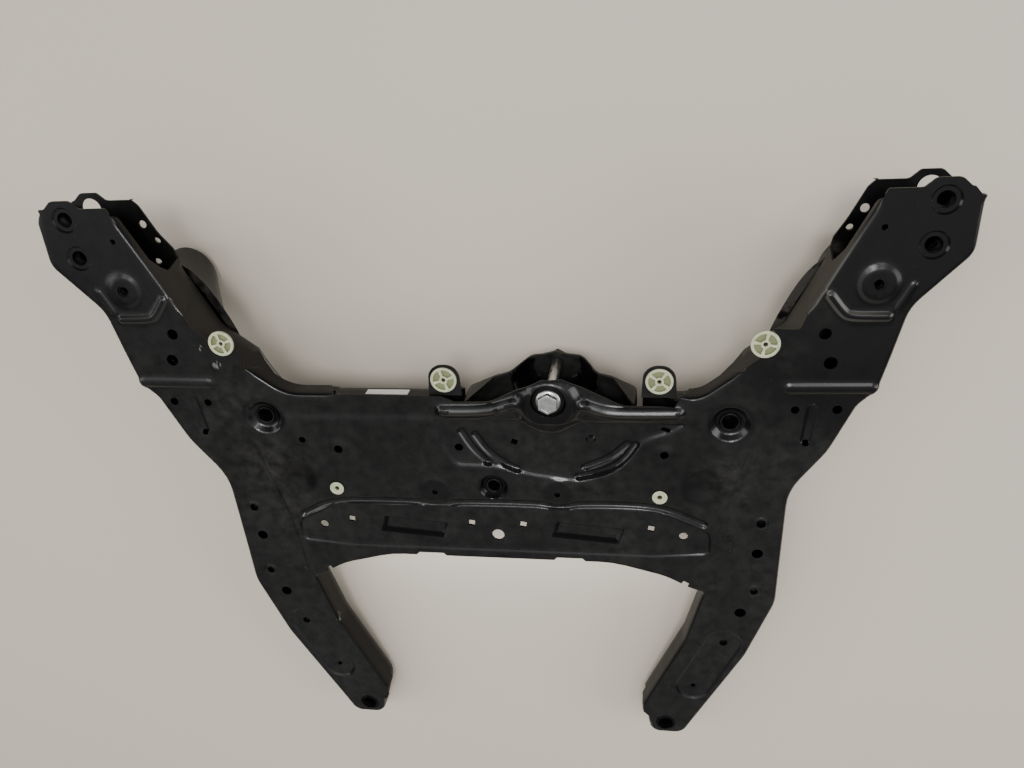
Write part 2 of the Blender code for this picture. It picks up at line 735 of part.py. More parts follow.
def lower_outline():
    """Outline of the lower shell, anticlockwise from the middle of its rear edge."""
    right = side_corners(True)
    peak_x, peak_y = torque_bolt()
    nose = [Rim(*front(214, 0), 0.0, 0.0), Rim(*front(209, 11), 0.0, 0.0),
            Rim(*front(152, 11), 25.0, 0.0), Rim(peak_x + 15, peak_y + 25, 8.0, 0.0),
            Rim(peak_x - 7, peak_y + 25, 8.0, 0.0), Rim(*front(6, 8), 40.0, 0.0), Rim(*front(-36, 9), 0.0, 0.0),
            Rim(*front(-50, 1), 6.0, 0.0), Rim(*front(-176, 0), 0.0, 0.0), Rim(*front(-186, 0), 0.0, 1.0)]
    return evenly(rounded(right + nose + mirrored(right)[::-1]))


def upper_outline():
    """Outline of the upper shell, nested inside the lower one, with a cut-out for the torque pocket."""
    right = side_corners(False)
    left_x, right_x = POCKET_LEFT - WALL_GAP, POCKET_RIGHT + WALL_GAP
    cut = 46.0
    nest = SHEET + WALL_GAP
    draft = FRONT_DRAFT
    nose = [Rim(*front(214, 0), 0.0, 1.0, 0.0, draft), Rim(*front(right_x + 30, 0), 0.0, 1.0, 0.0, draft),
            Rim(*front(right_x + nest, 20), 0.0, 0.0), Rim(*front(right_x + nest, cut), 0.0, 0.0),
            Rim(*front(left_x - nest, cut), 0.0, 0.0), Rim(*front(left_x - nest, 20), 0.0, 0.0),
            Rim(*front(left_x - 26, 0), 0.0, 1.0, 0.0, draft), Rim(*front(-172, 0), 0.0, 1.0, 0.0, draft),
            Rim(*front(-180, 0), 0.0, 1.0, LOWER_WALL, draft)]
    corners = []
    for corner in right + nose + mirrored(right)[::-1]:
        at_foot = corner.y < FOOT_Y - 10
        corners.append(replace(corner, draft=0.0 if at_foot else max(corner.draft, BACK_DRAFT)))
    return inset(evenly(rounded(corners)), nest)


def pocket_outline():
    """Outline of the torque pocket: a plain rear edge, two tall side walls and a low front lip."""
    x, y = torque_bolt()
    tall, low = POCKET_WALL, POCKET_LIP
    corners = [Rim(POCKET_LEFT, y - 69, 0.0, 0.0), Rim(POCKET_RIGHT, y - 69, 0.0, 0.0),
               Rim(POCKET_RIGHT, y - 56, 0.0, 0.0), Rim(POCKET_RIGHT, y - 46, 0.0, 1.0, tall),
               Rim(POCKET_RIGHT, y - 13, 8.0, 1.0, tall), Rim(x + 68, y + 1, 12.0, 1.0, low),
               Rim(x + 40, y + 9, 14.0, 1.0, low), Rim(x + 14, y + 12, 10.0, 1.0, low),
               Rim(x, y + 16, 14.0, 1.0, low), Rim(x - 16, y + 12, 10.0, 1.0, low),
               Rim(x - 44, y + 9, 14.0, 1.0, low), Rim(x - 70, y + 1, 12.0, 1.0, low),
               Rim(POCKET_LEFT, y - 13, 8.0, 1.0, tall), Rim(POCKET_LEFT, y - 46, 0.0, 1.0, tall),
               Rim(POCKET_LEFT, y - 56, 0.0, 0.0)]
    return evenly(rounded(corners))


FACE_STATIONS = [(FOOT_Y, FACE_LEG_Z), (REAR_EDGE_Y - 6, FACE_REAR_Z), (REAR_EDGE_Y + 79, FACE_REAR_Z + 4),
                 (FRONT_EDGE_Y - 15, FACE_FRONT_Z), (ARM_ROOT_Y + 40, FACE_ARM_Z)]
BACK_STATIONS = [(FOOT_Y + 40, BACK_LEG_Z), (REAR_EDGE_Y - 40, BACK_BEAM_Z), (ARM_ROOT_Y + 136, BACK_BEAM_Z),
                 (ARM_ROOT_Y + 172, BACK_ARM_Z)]


def pair(*spots):
    """A path on the right side and the same path on the left side."""
    return [tuple((sign * x, y) for x, y in spots) for sign in (1, -1)]


def lower_forms():
    """Beads, dimples and fields pressed into the lower shell."""
    field_corners = rear_field()
    ahead = field_corners[4][1] - field_corners[0][1]
    slope = (BAND_REAR_STEP - BAND_FRONT_STEP) / ahead
    forms = [Area(tuple(field_corners), 4.0, -BAND_REAR_STEP, slope)]
    for path in pair(rail_bore()):
        forms.append(Bead(path, RAIL_BORE / 2 + RAIL_SLEEVE_WALL + 3, 12.0, -8.0, 16))
    for path in pair((FRONT_BORE_X, FRONT_BORE_Y)) + pair(second_bore()):
        forms.append(Bead(path, ARM_COLLAR_OUTER / 2 - 1.5, 1.8, -1.8, 14))
    for path in pair(arm_boss()):
        forms.append(Bead(path, 15.0, 8.0, 4.6, 14))
    for path in pair(leg_nuts()[0]) + pair(leg_nuts()[1]):
        forms.append(Bead(path, 7.0, 2.5, 1.4, 10))
    for path in pair(leg(0.516, 25.4), leg(0.77, 13.3)):
        forms.append(Bead(path, 19.0, 5.0, -3.0))
    for path in pair(arm(0.03, -32.8), arm(0.035, 48.0)):
        forms.append(Bead(path, 3.0, 5.0, 4.5))
    for path in pair(arm(0.54, -49.8), arm(0.455, -28.8), arm(0.43, -18.4), arm(0.43, 16.6)):
        forms.append(Bead(path, 2.0, 4.4, 4.2))
    for path in pair(arm(0.594, 21.2), arm(0.47, 20.8)):
        forms.append(Bead(path, 1.2, 3.4, 2.4))
    for path in pair(arm(-0.089, 4.4), arm(-0.287, 20.0)):
        forms.append(Bead(path, 2.6, 3.4, -4.0))
    for path in pair(front(242.0, 118.0)):
        forms.append(Bead(path, 12.0, 14.0, -5.0))
    for path in pair(front(292.0, 72.0), front(281.0, 121.0), front(268.0, 172.0), rear(261.0, -28.0)):
        forms.append(Bead(path, 0.8, 2.4, -2.2))
    for back in (16.0, 28.0):
        forms.append(Bead((front(-233.0, back), front(-66.0, back - 1.0)), 1.0, 2.6, -2.6))
    for x, y, floor, wall, rise in ((-183, 125, 7, 7, 3.4), (199, 126, 7, 7, 3.4), (117, 143, 3.2, 2.6, 3.0)):
        forms.append(Bead(((x, y),), floor, wall, rise, 14))
    for spot in cross_nuts():
        forms.append(Bead((spot,), 17.0, 3.0, 2.0, 14))
    forms.append(Bead((centre_bore(),), CENTRE_BORE / 2 + 5.5, 6.5, -6.0, 14))
    return forms + band_beads() + torque_forms()


def rear_field():
    """Corners of the sunk rear band."""
    half = [(190, -25, 60), (257, -18, 10), (257, 14, 10), (242, 22, 20), (200, 43, 40)]
    return half + [(-x, y, r) for x, y, r in reversed(half)]


def flange_field():
    """Corners of the field where the upper shell comes up to the lower one, behind the rear band."""
    half = [(200, -110, 10), (258, -76, 8), (266, -30, 20), (266, 20, 15), (246, 34, 20), (203, 56, 40)]
    return half + [(-x, y, r) for x, y, r in reversed(half)]


def band_beads():
    """Shallow grooves ahead of the rear band and the two raised pads in it."""
    runs = [((-243, 27), (-222, 39), (-201, 46)), ((-188, 48), (-98, 49)), ((-48, 50), (52, 51)),
            ((100, 52), (162, 53)), ((174, 52), (206, 47), (238, 32))]
    beads = [Bead(run, 0.8, 2.2, -2.4) for run in runs]
    for x in (-105.5, 110.0):
        corners = tuple((x + a * 44.5, 7 + b * 16, 7) for a, b in ((-1, -1), (1, -1), (1, 1), (-1, 1)))
        beads.append(Area(corners, 5.0, 4.4))
    return beads


def torque_forms():
    """Sunk field, cone, ribs and curved grooves round the torque-rod bolt."""
    x, y = torque_bolt()
    corners = [(-61, 134, 40), (-46, 101, 20), (0, 101, 40), (50, 89, 60), (106, 81, 40), (147, 97, 30),
                     (176, 140, 40), (206, 151, 20), (222, 161, 3), (222, 172, 3), (-62, 172, 3)]
    forms = [Area(tuple(corners), 4.0, -3.5)]
    forms.append(Bead(((x, y - 7),), 23.0, 20.0, 11.0, 18))
    forms.append(Bead(((x, y),), 17.5, 2.5, -4.0, 16))
    for run in (((-50, 20), (-15, 20), (10, 17), (31, 9)), ((112, 11), (135, 20), (175, 20), (212, 19))):
        forms.append(Bead(tuple(front(px, back) for px, back in run), 1.6, 6.0, 7.5))
    grooves = (((-32, 150), (-20, 125), (-4, 108)), ((-16, 146), (-4, 124), (14, 108), (30, 99)),
               ((110, 104), (138, 117), (158, 137)), ((102, 91), (130, 98), (153, 113), (167, 136)))
    forms += [Bead(run, 1.6, 2.6, -4.0) for run in grooves]
    return forms


def band_rounds():
    """Centre and radius of the round holes through both sheets of the rear band."""
    return [((0.0, 0.0), 7.6), (rear(224.0, 41.0), 5.2), (rear(-224.0, 41.0), 5.2)]


def band_squares():
    """Centre and half width of the square holes through both sheets of the rear band."""
    return [(rear(x, 50.5), 4.25) for x in (-186.0, -32.0, 32.0, 186.0)]


def lower_holes():
    """Holes pierced in the lower shell."""
    x, y = torque_bolt()
    spots = [((FRONT_BORE_X, FRONT_BORE_Y), FRONT_BORE / 2, 14), (second_bore(), FRONT_BORE / 2, 14),
             (arm(0.876, -39.2), 3.2, 8), (arm_boss(), 6.6, 10), (arm(0.337, -31.6), 6.4, 10),
             (arm(0.178, -8.4), 6.9, 10), (arm(-0.094, 29.9), 5.0, 8), (arm(-0.099, -12.2), 4.5, 8),
             (arm(-0.307, 22.0), 3.6, 8), (rail_bore(), RAIL_BORE / 2 + RAIL_SLEEVE_WALL + SLEEVE_GAP, 14),
             ((OUTER_CLIP_X, OUTER_CLIP_Y), BIG_CLIP_STEM + SLEEVE_GAP, 8),
             ((SMALL_CLIP_X, SMALL_CLIP_Y), SMALL_CLIP_STEM + SLEEVE_GAP, 8),
             (leg(0.039, 13.5), 6.5, 10), (leg(0.341, 26.7), 6.8, 10), (leg(0.77, 13.3), 3.0, 8),
             ((FOOT_X, FOOT_Y), FOOT_BORE / 2 + FOOT_SLEEVE_WALL + SLEEVE_GAP, 14)]
    spots += [(spot, radius, 10) for spot, radius in zip(leg_nuts(), (5.3, 4.6, 5.0))]
    loops = []
    for (px, py), radius, count in spots:
        loops += [circle((sign * px, py), radius, count) for sign in (1, -1)]
    single = [((-227, 136), 4.0, 8), ((-183, 125), 5.3, 10), ((199, 126), 4.8, 10), ((-37, 128), 5.0, 10),
              (centre_bore(), CENTRE_BORE / 2 + CENTRE_SLEEVE_WALL + SLEEVE_GAP, 14),
              ((x, y), BOLT_SHANK / 2 + 0.6, 12), *((spot, 3.4, 8) for spot in cross_nuts())]
    loops += [circle(spot, radius, count) for spot, radius, count in single]
    loops += [circle(spot, radius, 12) for spot, radius in band_rounds()]
    loops += [box_loop(spot, 2 * half, 2 * half) for spot, half in band_squares()]
    loops += [box_loop((200, 157), 12.0, 6.5), box_loop((29, 137), 9.0, 9.0)]
    return loops


def upper_holes():
    """Holes pierced in the upper shell."""
    spots = [((FRONT_BORE_X, FRONT_BORE_Y), 12.0, 14), (arm(0.906, -49.2), 4.6, 8),
             (arm(0.81, -52.0), 3.6, 8), (arm(0.673, -28.3), 4.2, 8),
             (rail_bore(), RAIL_BORE / 2, 14), ((FOOT_X, FOOT_Y), FOOT_BORE / 2 - 1.0, 14), ((150.0, 70.0), 17.0, 16),
             (leg(0.3, 22.0), 12.0, 14), (leg(0.65, 14.0), 7.0, 10)]
    loops = []
    for (px, py), radius, count in spots:
        loops += [circle((sign * px, py), radius, count) for sign in (1, -1)]
    for (px, py), half in band_squares():
        loops.append(box_loop((px, py), 2 * (half + BAND_HOLE_MARGIN), 2 * (half + BAND_HOLE_MARGIN)))
    loops += [circle(spot, radius + BAND_HOLE_MARGIN, 10) for spot, radius in band_rounds()]
    return [*loops, circle(centre_bore(), CENTRE_BORE / 2, 14)]


def upper_forms():
    """Stiffening beads of the upper shell, on its outer side."""
    seat = BAND_FLOOR_Z - SHEET - SEAT_GAP - SHEET
    forms = [Area(tuple(flange_field()), 17.0, seat - BACK_BEAM_Z)]
    forms.append(Bead(((-190.0, 110.0), (-60.0, 110.0)), 8.0, 7.0, -5.0))
    forms.append(Bead(((60.0, 110.0), (190.0, 110.0)), 8.0, 7.0, -5.0))
    for path in pair(leg(0.12, 8.0), leg(0.5, 14.0)):
        forms.append(Bead(path, 5.0, 6.0, -4.0))
    return forms


# Materials

def paint(name, colour, roughness, metallic=0.0):
    """A plain material for one finish."""
    made = bpy.data.materials.new(name)
    made.use_nodes = True
    shader = made.node_tree.nodes["Principled BSDF"]
    shader.inputs["Base Color"].default_value = (*colour, 1.0)
    shader.inputs["Roughness"].default_value = roughness
    shader.inputs["Metallic"].default_value = metallic
    return made


# Assembly

def make_shells(black):
    """The two pressed shells and the torque pocket."""
    lower = Pressing(lower_outline(), FACE_STATIONS, lower_forms(), lower_holes(), 1, SHEET)

    def upper_wall_top(rim, z):
        """Level of the upper wall's edge, inside the lower wall or just below the lower face."""
        face = float(level(FACE_STATIONS, np.array([[rim.x, rim.y]]))[0])
        nested = face - rim.wall + WALL_OVERLAP
        return min(nested, face - SHEET - 1.2)

    creases = [y for y, _ in BACK_STATIONS]
    upper = Pressing(upper_outline(), BACK_STATIONS, upper_forms(), upper_holes(), -1, SHEET,
                     upper_wall_top, creases)
    seat = BACK_BEAM_Z + SHEET + SEAT_GAP
    x, y = torque_bolt()
    cone = Bead(((x - 14, y - 5), (x + 14, y - 5)), 16.0, 22.0, -POCKET_DEPTH)
    land = Bead(((x, y),), POCKET_LAND, 0.8, 0.0)
    hole = circle((x, y), BOLT_SHANK / 2 + 0.6, 12)
    pocket = Pressing(pocket_outline(), [(0.0, seat)], [cone, land], [hole], -1, POCKET_SHEET)
    lower.build("lower_shell", black)
    upper.build("upper_shell", black)
    pocket.build("torque_pocket", black)
    return lower, upper, seat - POCKET_DEPTH


def make_torque_bolt(lower, seat, zinc, steel):
    """The torque-rod bolt and its weld nut on the far jaw."""
    centre = torque_bolt()
    head = lower.above(centre, BOLT_HEAD_FLATS / 2 + 3.6)
    radius = BOLT_SHANK / 2
    top = head + BOLT_HEAD_HEIGHT
    flats = BOLT_HEAD_FLATS / 2
    levels = [(top, flats - 1.4, False), (top - 1.0, flats, True), (head + 2.6, flats, True),
              (head + 2.0, flats + 3.4, False), (head, flats + 3.6, False), (head, radius, False),
              (seat - 16.0, radius, False), (seat - 18.0, radius - 1.5, False)]
    stacked("torque_bolt", centre, levels, zinc, 24)
    nut("torque_nut", centre, seat - SEAT_GAP, 11.0, 20.0, radius + SEAT_GAP, steel)


def make_sleeves(lower, upper, steel):
    """Sleeves through the box section at the feet, the rails and the middle."""
    for label, sign in (("left", -1), ("right", 1)):
        x, y = rail_bore()
        outer = RAIL_BORE / 2 + RAIL_SLEEVE_WALL
        top = lower.above((x, y), outer) + SLEEVE_PROUD
        bottom = upper.within((x, y), outer) + 1.0
        sleeve(f"rail_sleeve_{label}", (sign * x, y), top, bottom, outer, RAIL_BORE / 2, steel)
        outer = FOOT_BORE / 2 + FOOT_SLEEVE_WALL
        top = FACE_LEG_Z + SLEEVE_PROUD
        bottom = upper.within((FOOT_X, FOOT_Y), outer) + 2.0
        sleeve(f"foot_sleeve_{label}", (sign * FOOT_X, FOOT_Y), top, bottom, outer, FOOT_BORE / 2, steel)
    outer = CENTRE_BORE / 2 + CENTRE_SLEEVE_WALL
    top = lower.above(centre_bore(), outer) + SLEEVE_PROUD
    bottom = upper.within(centre_bore(), outer) + 1.0
    sleeve("centre_sleeve", centre_bore(), top, bottom, outer, CENTRE_BORE / 2, steel)


def make_weld_nuts(lower, steel):
    """Collars behind the arm bores and nuts behind the smaller holes."""
    arm_spots = {"front_collar": (FRONT_BORE_X, FRONT_BORE_Y), "second_collar": second_bore()}
    nut_spots = dict(zip(("leg_nut_front", "leg_nut_middle", "leg_nut_rear"), leg_nuts()), arm_nut=arm_boss())
    outer = ARM_COLLAR_OUTER / 2 - 2
    for label, sign in (("left", -1), ("right", 1)):
        for name, (x, y) in arm_spots.items():
            top = lower.within((x, y), outer)
            bottom = top - ARM_COLLAR_LENGTH
            sleeve(f"{name}_{label}", (sign * x, y), top, bottom, outer, FRONT_BORE / 2 - 1.5, steel)
        for name, (x, y) in nut_spots.items():
            top = lower.within((x, y), 10.5)
            nut(f"{name}_{label}", (sign * x, y), top, NUT_HEIGHT, 17.0, 4.1, steel)
    for label, spot in zip(("left", "right"), cross_nuts()):
        nut(f"cross_nut_{label}", spot, lower.within(spot, 8.5), NUT_HEIGHT, 13.0, 3.0, steel)


def make_towers(black, steel):
    """Body-mount towers on the back of the arms, each with a weld nut inside its top."""
    for label, sign in (("left", -1), ("right", 1)):
        tower(f"tower_{label}", sign, BACK_BEAM_Z - SEAT_GAP, black)
        top = TOWER_TOP_Z + TOWER_WALL + SEAT_GAP + 10.0
        nut(f"tower_nut_{label}", (sign * TOWER_X, TOWER_Y), top, 10.0, 24.0, TOWER_HOLE / 2 - 1.0, steel)


def make_clips(lower, black, plastic):
    """Ears for the inner clips, the four big push clips and the two small plugs."""
    for label, x in (("left", INNER_CLIP_LEFT_X), ("right", INNER_CLIP_RIGHT_X)):
        centre = front(x, -INNER_CLIP_AHEAD)
        top = lower.within(front(x, 6), 10.0) - 2.0
        ear = BIG_CLIP_RADIUS + 2.0
        base = FRONT_EDGE_Y - 2.4
        corners = [Rim(x - 19, base), Rim(x + 19, base), Rim(x + ear, centre[1] + ear, ear - 1.0),
                   Rim(x - ear, centre[1] + ear, ear - 1.0)]
        loop = [(rim.x, rim.y) for rim in rounded(corners)]
        plate(f"clip_bracket_{label}", loop, [circle(centre, BIG_CLIP_STEM + SLEEVE_GAP, 8)], top, BRACKET_SHEET, black)
        big_clip(f"clip_inner_{label}", centre, top + SEAT_GAP + 3.4, plastic)
    for label, sign in (("left", -1), ("right", 1)):
        outer = (sign * OUTER_CLIP_X, OUTER_CLIP_Y)
        big_clip(f"clip_outer_{label}", outer, lower.above(outer, BIG_CLIP_RADIUS) + 3.5, plastic)
        small = (sign * SMALL_CLIP_X, SMALL_CLIP_Y)
        small_clip(f"clip_small_{label}", small, lower.above(small, SMALL_CLIP_RADIUS) + 2.4, plastic)


def make_label(paper):
    """A blank paper label on the front wall of the upper shell."""
    wall = FRONT_EDGE_Y - SHEET - WALL_GAP
    mesh = bmesh.new()
    bmesh.ops.create_cube(mesh, size=1.0)
    bmesh.ops.scale(mesh, vec=(LABEL_LENGTH, LABEL_THICKNESS, LABEL_HEIGHT), verts=mesh.verts)
    place = (LABEL_X, wall + SEAT_GAP + LABEL_THICKNESS / 2, 1.0)
    bmesh.ops.translate(mesh, vec=place, verts=mesh.verts)
    finish(mesh, "label", paper, False)


def main():
    """Clear the file and build the subframe."""
    for thing in list(bpy.data.objects):
        bpy.data.objects.remove(thing)
    black = paint("black_coat", (0.016, 0.016, 0.017), 0.42)
    steel = paint("bare_steel", (0.2, 0.19, 0.18), 0.45, 0.8)
    zinc = paint("zinc_plate", (0.62, 0.62, 0.6), 0.32, 1.0)
    plastic = paint("natural_plastic", (0.72, 0.76, 0.6), 0.5)
    paper = paint("label_paper", (0.86, 0.86, 0.84), 0.7)
    lower, upper, seat = make_shells(black)
    make_torque_bolt(lower, seat, zinc, steel)
    make_sleeves(lower, upper, steel)
    make_weld_nuts(lower, steel)
    make_towers(black, steel)
    make_clips(lower, black, plastic)
    make_label(paper)


main()
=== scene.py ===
"""Dressed front subframe: finely pressed sheets, towers, sleeves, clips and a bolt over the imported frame.

The pieces are laid out in millimetres, counted from the round hole in the middle of the rear band, with X
across the car, Y to its front and Z out of its underside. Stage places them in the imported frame, in metres.
"""

import json
import logging
import math
from dataclasses import dataclass, replace
from enum import Enum
from functools import reduce
from typing import Callable, Sequence

import bmesh
import bpy
import numpy as np
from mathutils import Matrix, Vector
from mathutils.geometry import delaunay_2d_cdt
from mathutils.kdtree import KDTree

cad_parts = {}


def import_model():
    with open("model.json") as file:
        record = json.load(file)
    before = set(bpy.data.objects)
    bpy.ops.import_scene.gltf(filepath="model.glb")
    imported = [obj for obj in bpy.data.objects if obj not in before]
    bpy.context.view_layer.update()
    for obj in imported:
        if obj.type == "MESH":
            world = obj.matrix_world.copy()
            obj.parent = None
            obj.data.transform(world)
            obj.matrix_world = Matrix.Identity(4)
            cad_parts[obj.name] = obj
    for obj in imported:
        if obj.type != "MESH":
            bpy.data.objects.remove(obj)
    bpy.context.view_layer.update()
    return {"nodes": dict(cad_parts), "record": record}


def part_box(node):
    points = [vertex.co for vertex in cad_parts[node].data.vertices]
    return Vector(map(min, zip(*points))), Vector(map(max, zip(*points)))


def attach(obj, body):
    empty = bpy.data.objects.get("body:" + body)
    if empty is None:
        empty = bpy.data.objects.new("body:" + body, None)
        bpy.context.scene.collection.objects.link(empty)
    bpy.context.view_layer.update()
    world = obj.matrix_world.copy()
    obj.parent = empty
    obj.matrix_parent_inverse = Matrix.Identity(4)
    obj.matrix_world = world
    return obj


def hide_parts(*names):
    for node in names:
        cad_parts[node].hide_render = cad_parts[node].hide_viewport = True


LOG = logging.getLogger("subframe")
Spot = tuple[float, float]
Tint = tuple[float, float, float]
MM = 0.001

# Fixing points and levels that several pieces share, as in the part's source
FRONT_BORE: Spot = (450.0, 408.0)
ARM_ROOT: Spot = (356.0, 206.0)
LEG_ROOT: Spot = (300.0, 0.0)
FOOT: Spot = (210.0, -308.0)
FRONT_TIP = 21.0
FOOT_TIP = 19.0
FRONT_EDGE_Y = 199.0
REAR_EDGE_Y = -34.0
TORQUE_BOLT: Spot = (72.0, 197.0)
RAIL_BORE: Spot = (269.0, 166.0)
CENTRE_BORE: Spot = (0.0, 73.0)
OUTER_CLIP: Spot = (298.0, 264.0)
SMALL_CLIP: Spot = (195.0, 67.0)
INNER_CLIPS: dict[str, Spot] = {"left": (-46.0, 217.0), "right": (192.0, 217.0)}
TOWER_TOP: Spot = (412.0, 297.0)
SHEET = 2.5
SEAT_GAP = 0.3
FOLD_RADIUS = 5.0
CUT_RIM = 1.0
LOWER_WALL = 24.0
ARM_WALL = 31.0
MOUTH_WALL = 11.0
MOUTH_END_WALL = 20.0
MOUTH_OVERHANG = 4.5
BACK_LEG_Z = -56.0
BACK_BEAM_Z = -50.0
BACK_ARM_Z = -38.0
TOWER_TOP_Z = -150.0
BAND_FLOOR_Z = -2.2
BAND_REAR_STEP = 1.5
BAND_FRONT_STEP = 6.0
PAD_CENTRES = (-105.5, 110.0)
PAD_MIDDLE_Y = 7.0
PAD_DEPTH = 6.0
PAD_WALL = 5.0
POCKET_DEPTH = 40.0
CROSS_NUTS: dict[str, Spot] = {"left": (-72.0, 65.0), "right": (76.0, 66.0)}
THREADED_BORE = 6.6
CLIP_BORE = 5.3
EAR = 17.0
SIDES = (("left", -1), ("right", 1))
CORNERS = ((-1, -1), (1, -1), (1, 1), (-1, 1))

# The camera stands this far to the right of the origin and above it, and sees the floor through the
# rear band's holes, behind which the upper shell lies this much lower
EYE_X = 172.0
EYE_HEIGHT = 828.0
BAND_GAP = 6.5
BAND_SHIFT = 4.0


class Skin(Enum):
    """Which way the outer skin of a pressed sheet looks."""

    UNDERSIDE = 1
    BACK = -1


@dataclass(frozen=True)
class Rim:
    """A corner or point of a sheet's outline, and how the sheet is folded there."""

    x: float
    y: float
    radius: float = 0.0
    fold: float = 1.0
    wall: float = LOWER_WALL
    draft: float = 0.0


def arm(along: float, across: float) -> Spot:
    """Point on an arm.

    Args:
        along: 0 at the arm's root and 1 at the front bore.
        across: distance outward from the arm's line.

    Returns:
        The point on the right side.
    """
    x = ARM_ROOT[0] + (FRONT_BORE[0] - ARM_ROOT[0]) * along + across
    return x, ARM_ROOT[1] + (FRONT_BORE[1] - ARM_ROOT[1]) * along


def leg(along: float, across: float) -> Spot:
    """Point on a leg.

    Args:
        along: 0 level with the middle of the rear band and 1 at the foot bore.
        across: distance outward from the leg's line.

    Returns:
        The point on the right side.
    """
    return LEG_ROOT[0] + (FOOT[0] - LEG_ROOT[0]) * along + across, FOOT[1] * along


# Spots on the arms and legs at which a form, a hole and a nut or collar meet
SECOND_BORE = arm(1.0 - 43.0 / (FRONT_BORE[1] - ARM_ROOT[1]), 15.5)
ARM_BOSS = arm(0.6, -11.9)
LEG_NUT_FRONT = leg(-0.107, 1.4)
LEG_NUT_MIDDLE = leg(0.224, 30.2)
LEG_NUT_REAR = leg(0.516, 25.4)
ARM_SLOPE = math.atan2(FRONT_BORE[1] - ARM_ROOT[1], FRONT_BORE[0] - ARM_ROOT[0])


def both(*spots: Spot) -> list[tuple[Spot, ...]]:
    """A path on the right side, and the same path on the left side."""
    return [tuple((sign * x, y) for x, y in spots) for sign in (1, -1)]


class Stage:
    shift_y = 0.0
    shift_z = 0.0

    @classmethod
    def settle(cls) -> None:
        """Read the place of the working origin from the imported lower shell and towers."""
        cls.shift_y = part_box("lower_shell")[1][1] / MM - (FRONT_BORE[1] + FRONT_TIP)
        cls.shift_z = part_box("tower_left")[0][2] / MM - TOWER_TOP_Z

    @classmethod
    def place(cls, points: np.ndarray) -> np.ndarray:
        """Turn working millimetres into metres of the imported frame.

        Args:
            points: one row per point.

        Returns:
            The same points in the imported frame.
        """
        return (np.asarray(points, float) + (0.0, cls.shift_y, cls.shift_z)) * MM

    @classmethod
    def span(cls, node: str) -> Spot:
        """Upper and lower level of a node, in working millimetres."""
        low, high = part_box(node)
        return high[2] / MM - cls.shift_z, low[2] / MM - cls.shift_z

    @staticmethod
    def adopt(thing: bpy.types.Object, slot: str, node: str, finish: bpy.types.Material) -> None:
        """Give a finished piece its finish and its place in the frame.

        Args:
            thing: the piece, in metres, at the origin.
            slot: the record's material slot; not used.
            node: the node that the piece replaces.
            finish: its material.
        """
        thing.data.materials.clear()
        thing.data.materials.append(finish)
        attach(thing, "root")
        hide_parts(node)
        LOG.info("%s: %d faces", thing.name, len(thing.data.polygons))


# Outline geometry

ARC_STEP = math.radians(9.0)


def blend(a: Rim, b: Rim, share: float) -> Rim:
    """Outline point between two others."""
    names = ("x", "y", "radius", "fold", "wall", "draft")
    return Rim(*(getattr(a, n) * (1 - share) + getattr(b, n) * share for n in names))


def rounded(corners: Sequence[Rim]) -> list[Rim]:
    """Turn each corner that has a radius into a run of arc points.

    Args:
        corners: a closed outline.

    Returns:
        The outline with its arcs.
    """
    points: list[Rim] = []
    for index, corner in enumerate(corners):
        before, after = corners[index - 1], corners[(index + 1) % len(corners)]
        if corner.radius <= 0:
            points.append(corner)
            continue
        spot = np.array([corner.x, corner.y], float)
        into = np.array([before.x, before.y], float) - spot
        out = np.array([after.x, after.y], float) - spot
        room = 0.5 * min(np.hypot(*into), np.hypot(*out))
        into /= np.hypot(*into)
        out /= np.hypot(*out)
        opening = math.acos(float(np.clip(into @ out, -1, 1)))
        turn = math.pi - opening
        reach = min(corner.radius * math.tan(turn / 2), room)
        radius = reach / math.tan(turn / 2)
        centre = spot + (into + out) / np.hypot(*(into + out)) * radius / math.sin(opening / 2)
        first = spot + into * reach - centre
        side = np.sign(first[0] * out[1] - first[1] * out[0])
        steps = max(2, math.ceil(turn / ARC_STEP))
        for step in range(steps + 1):
            angle = side * turn * step / steps
            c, s = math.cos(angle), math.sin(angle)
            place = centre + (c * first[0] - s * first[1], s * first[0] + c * first[1])
            points.append(replace(corner, x=float(place[0]), y=float(place[1])))
    pairs = zip(points, points[-1:] + points)
    return [p for p, before in pairs if math.hypot(p.x - before.x, p.y - before.y) > 0.3]


def evenly(rims: Sequence[Rim], longest: float) -> list[Rim]:
    """Split the long edges of an outline.

    Args:
        rims: a closed outline.
        longest: the longest edge that stays.

    Returns:
        The outline with more points.
    """
    points: list[Rim] = []
    for a, b in zip(rims, list(rims[1:]) + list(rims[:1])):
        parts = max(1, math.ceil(math.hypot(b.x - a.x, b.y - a.y) / longest))
        points += [blend(a, b, part / parts) for part in range(parts)]
    return points


def corner_offsets(points: np.ndarray) -> np.ndarray:
    """For each corner of an anticlockwise loop, the move that shifts both its edges inward by 1.

    Args:
        points: the corners of the loop.

    Returns:
        One row per corner.
    """
    edges = np.roll(points, -1, axis=0) - points
    edges /= np.maximum(np.linalg.norm(edges, axis=1), 1e-9)[:, None]
    normals = np.stack([-edges[:, 1], edges[:, 0]], axis=1)
    total = normals + np.roll(normals, 1, axis=0)
    return total / np.maximum((total * total).sum(1) / 2, 0.25)[:, None]


def inset(rims: Sequence[Rim], distance: float) -> list[Rim]:
    """The outline moved inward by one distance everywhere.

    Args:
        rims: a closed outline.
        distance: how far each edge moves.

    Returns:
        The smaller outline.
    """
    points = np.array([(rim.x, rim.y) for rim in rims])
    moved = points + corner_offsets(points) * distance
    return [replace(rim, x=float(x), y=float(y)) for rim, (x, y) in zip(rims, moved)]


def mirrored(corners: Sequence[Rim]) -> list[Rim]:
    """The same corners on the other side of the plane of symmetry."""
    return [replace(corner, x=-corner.x) for corner in corners]


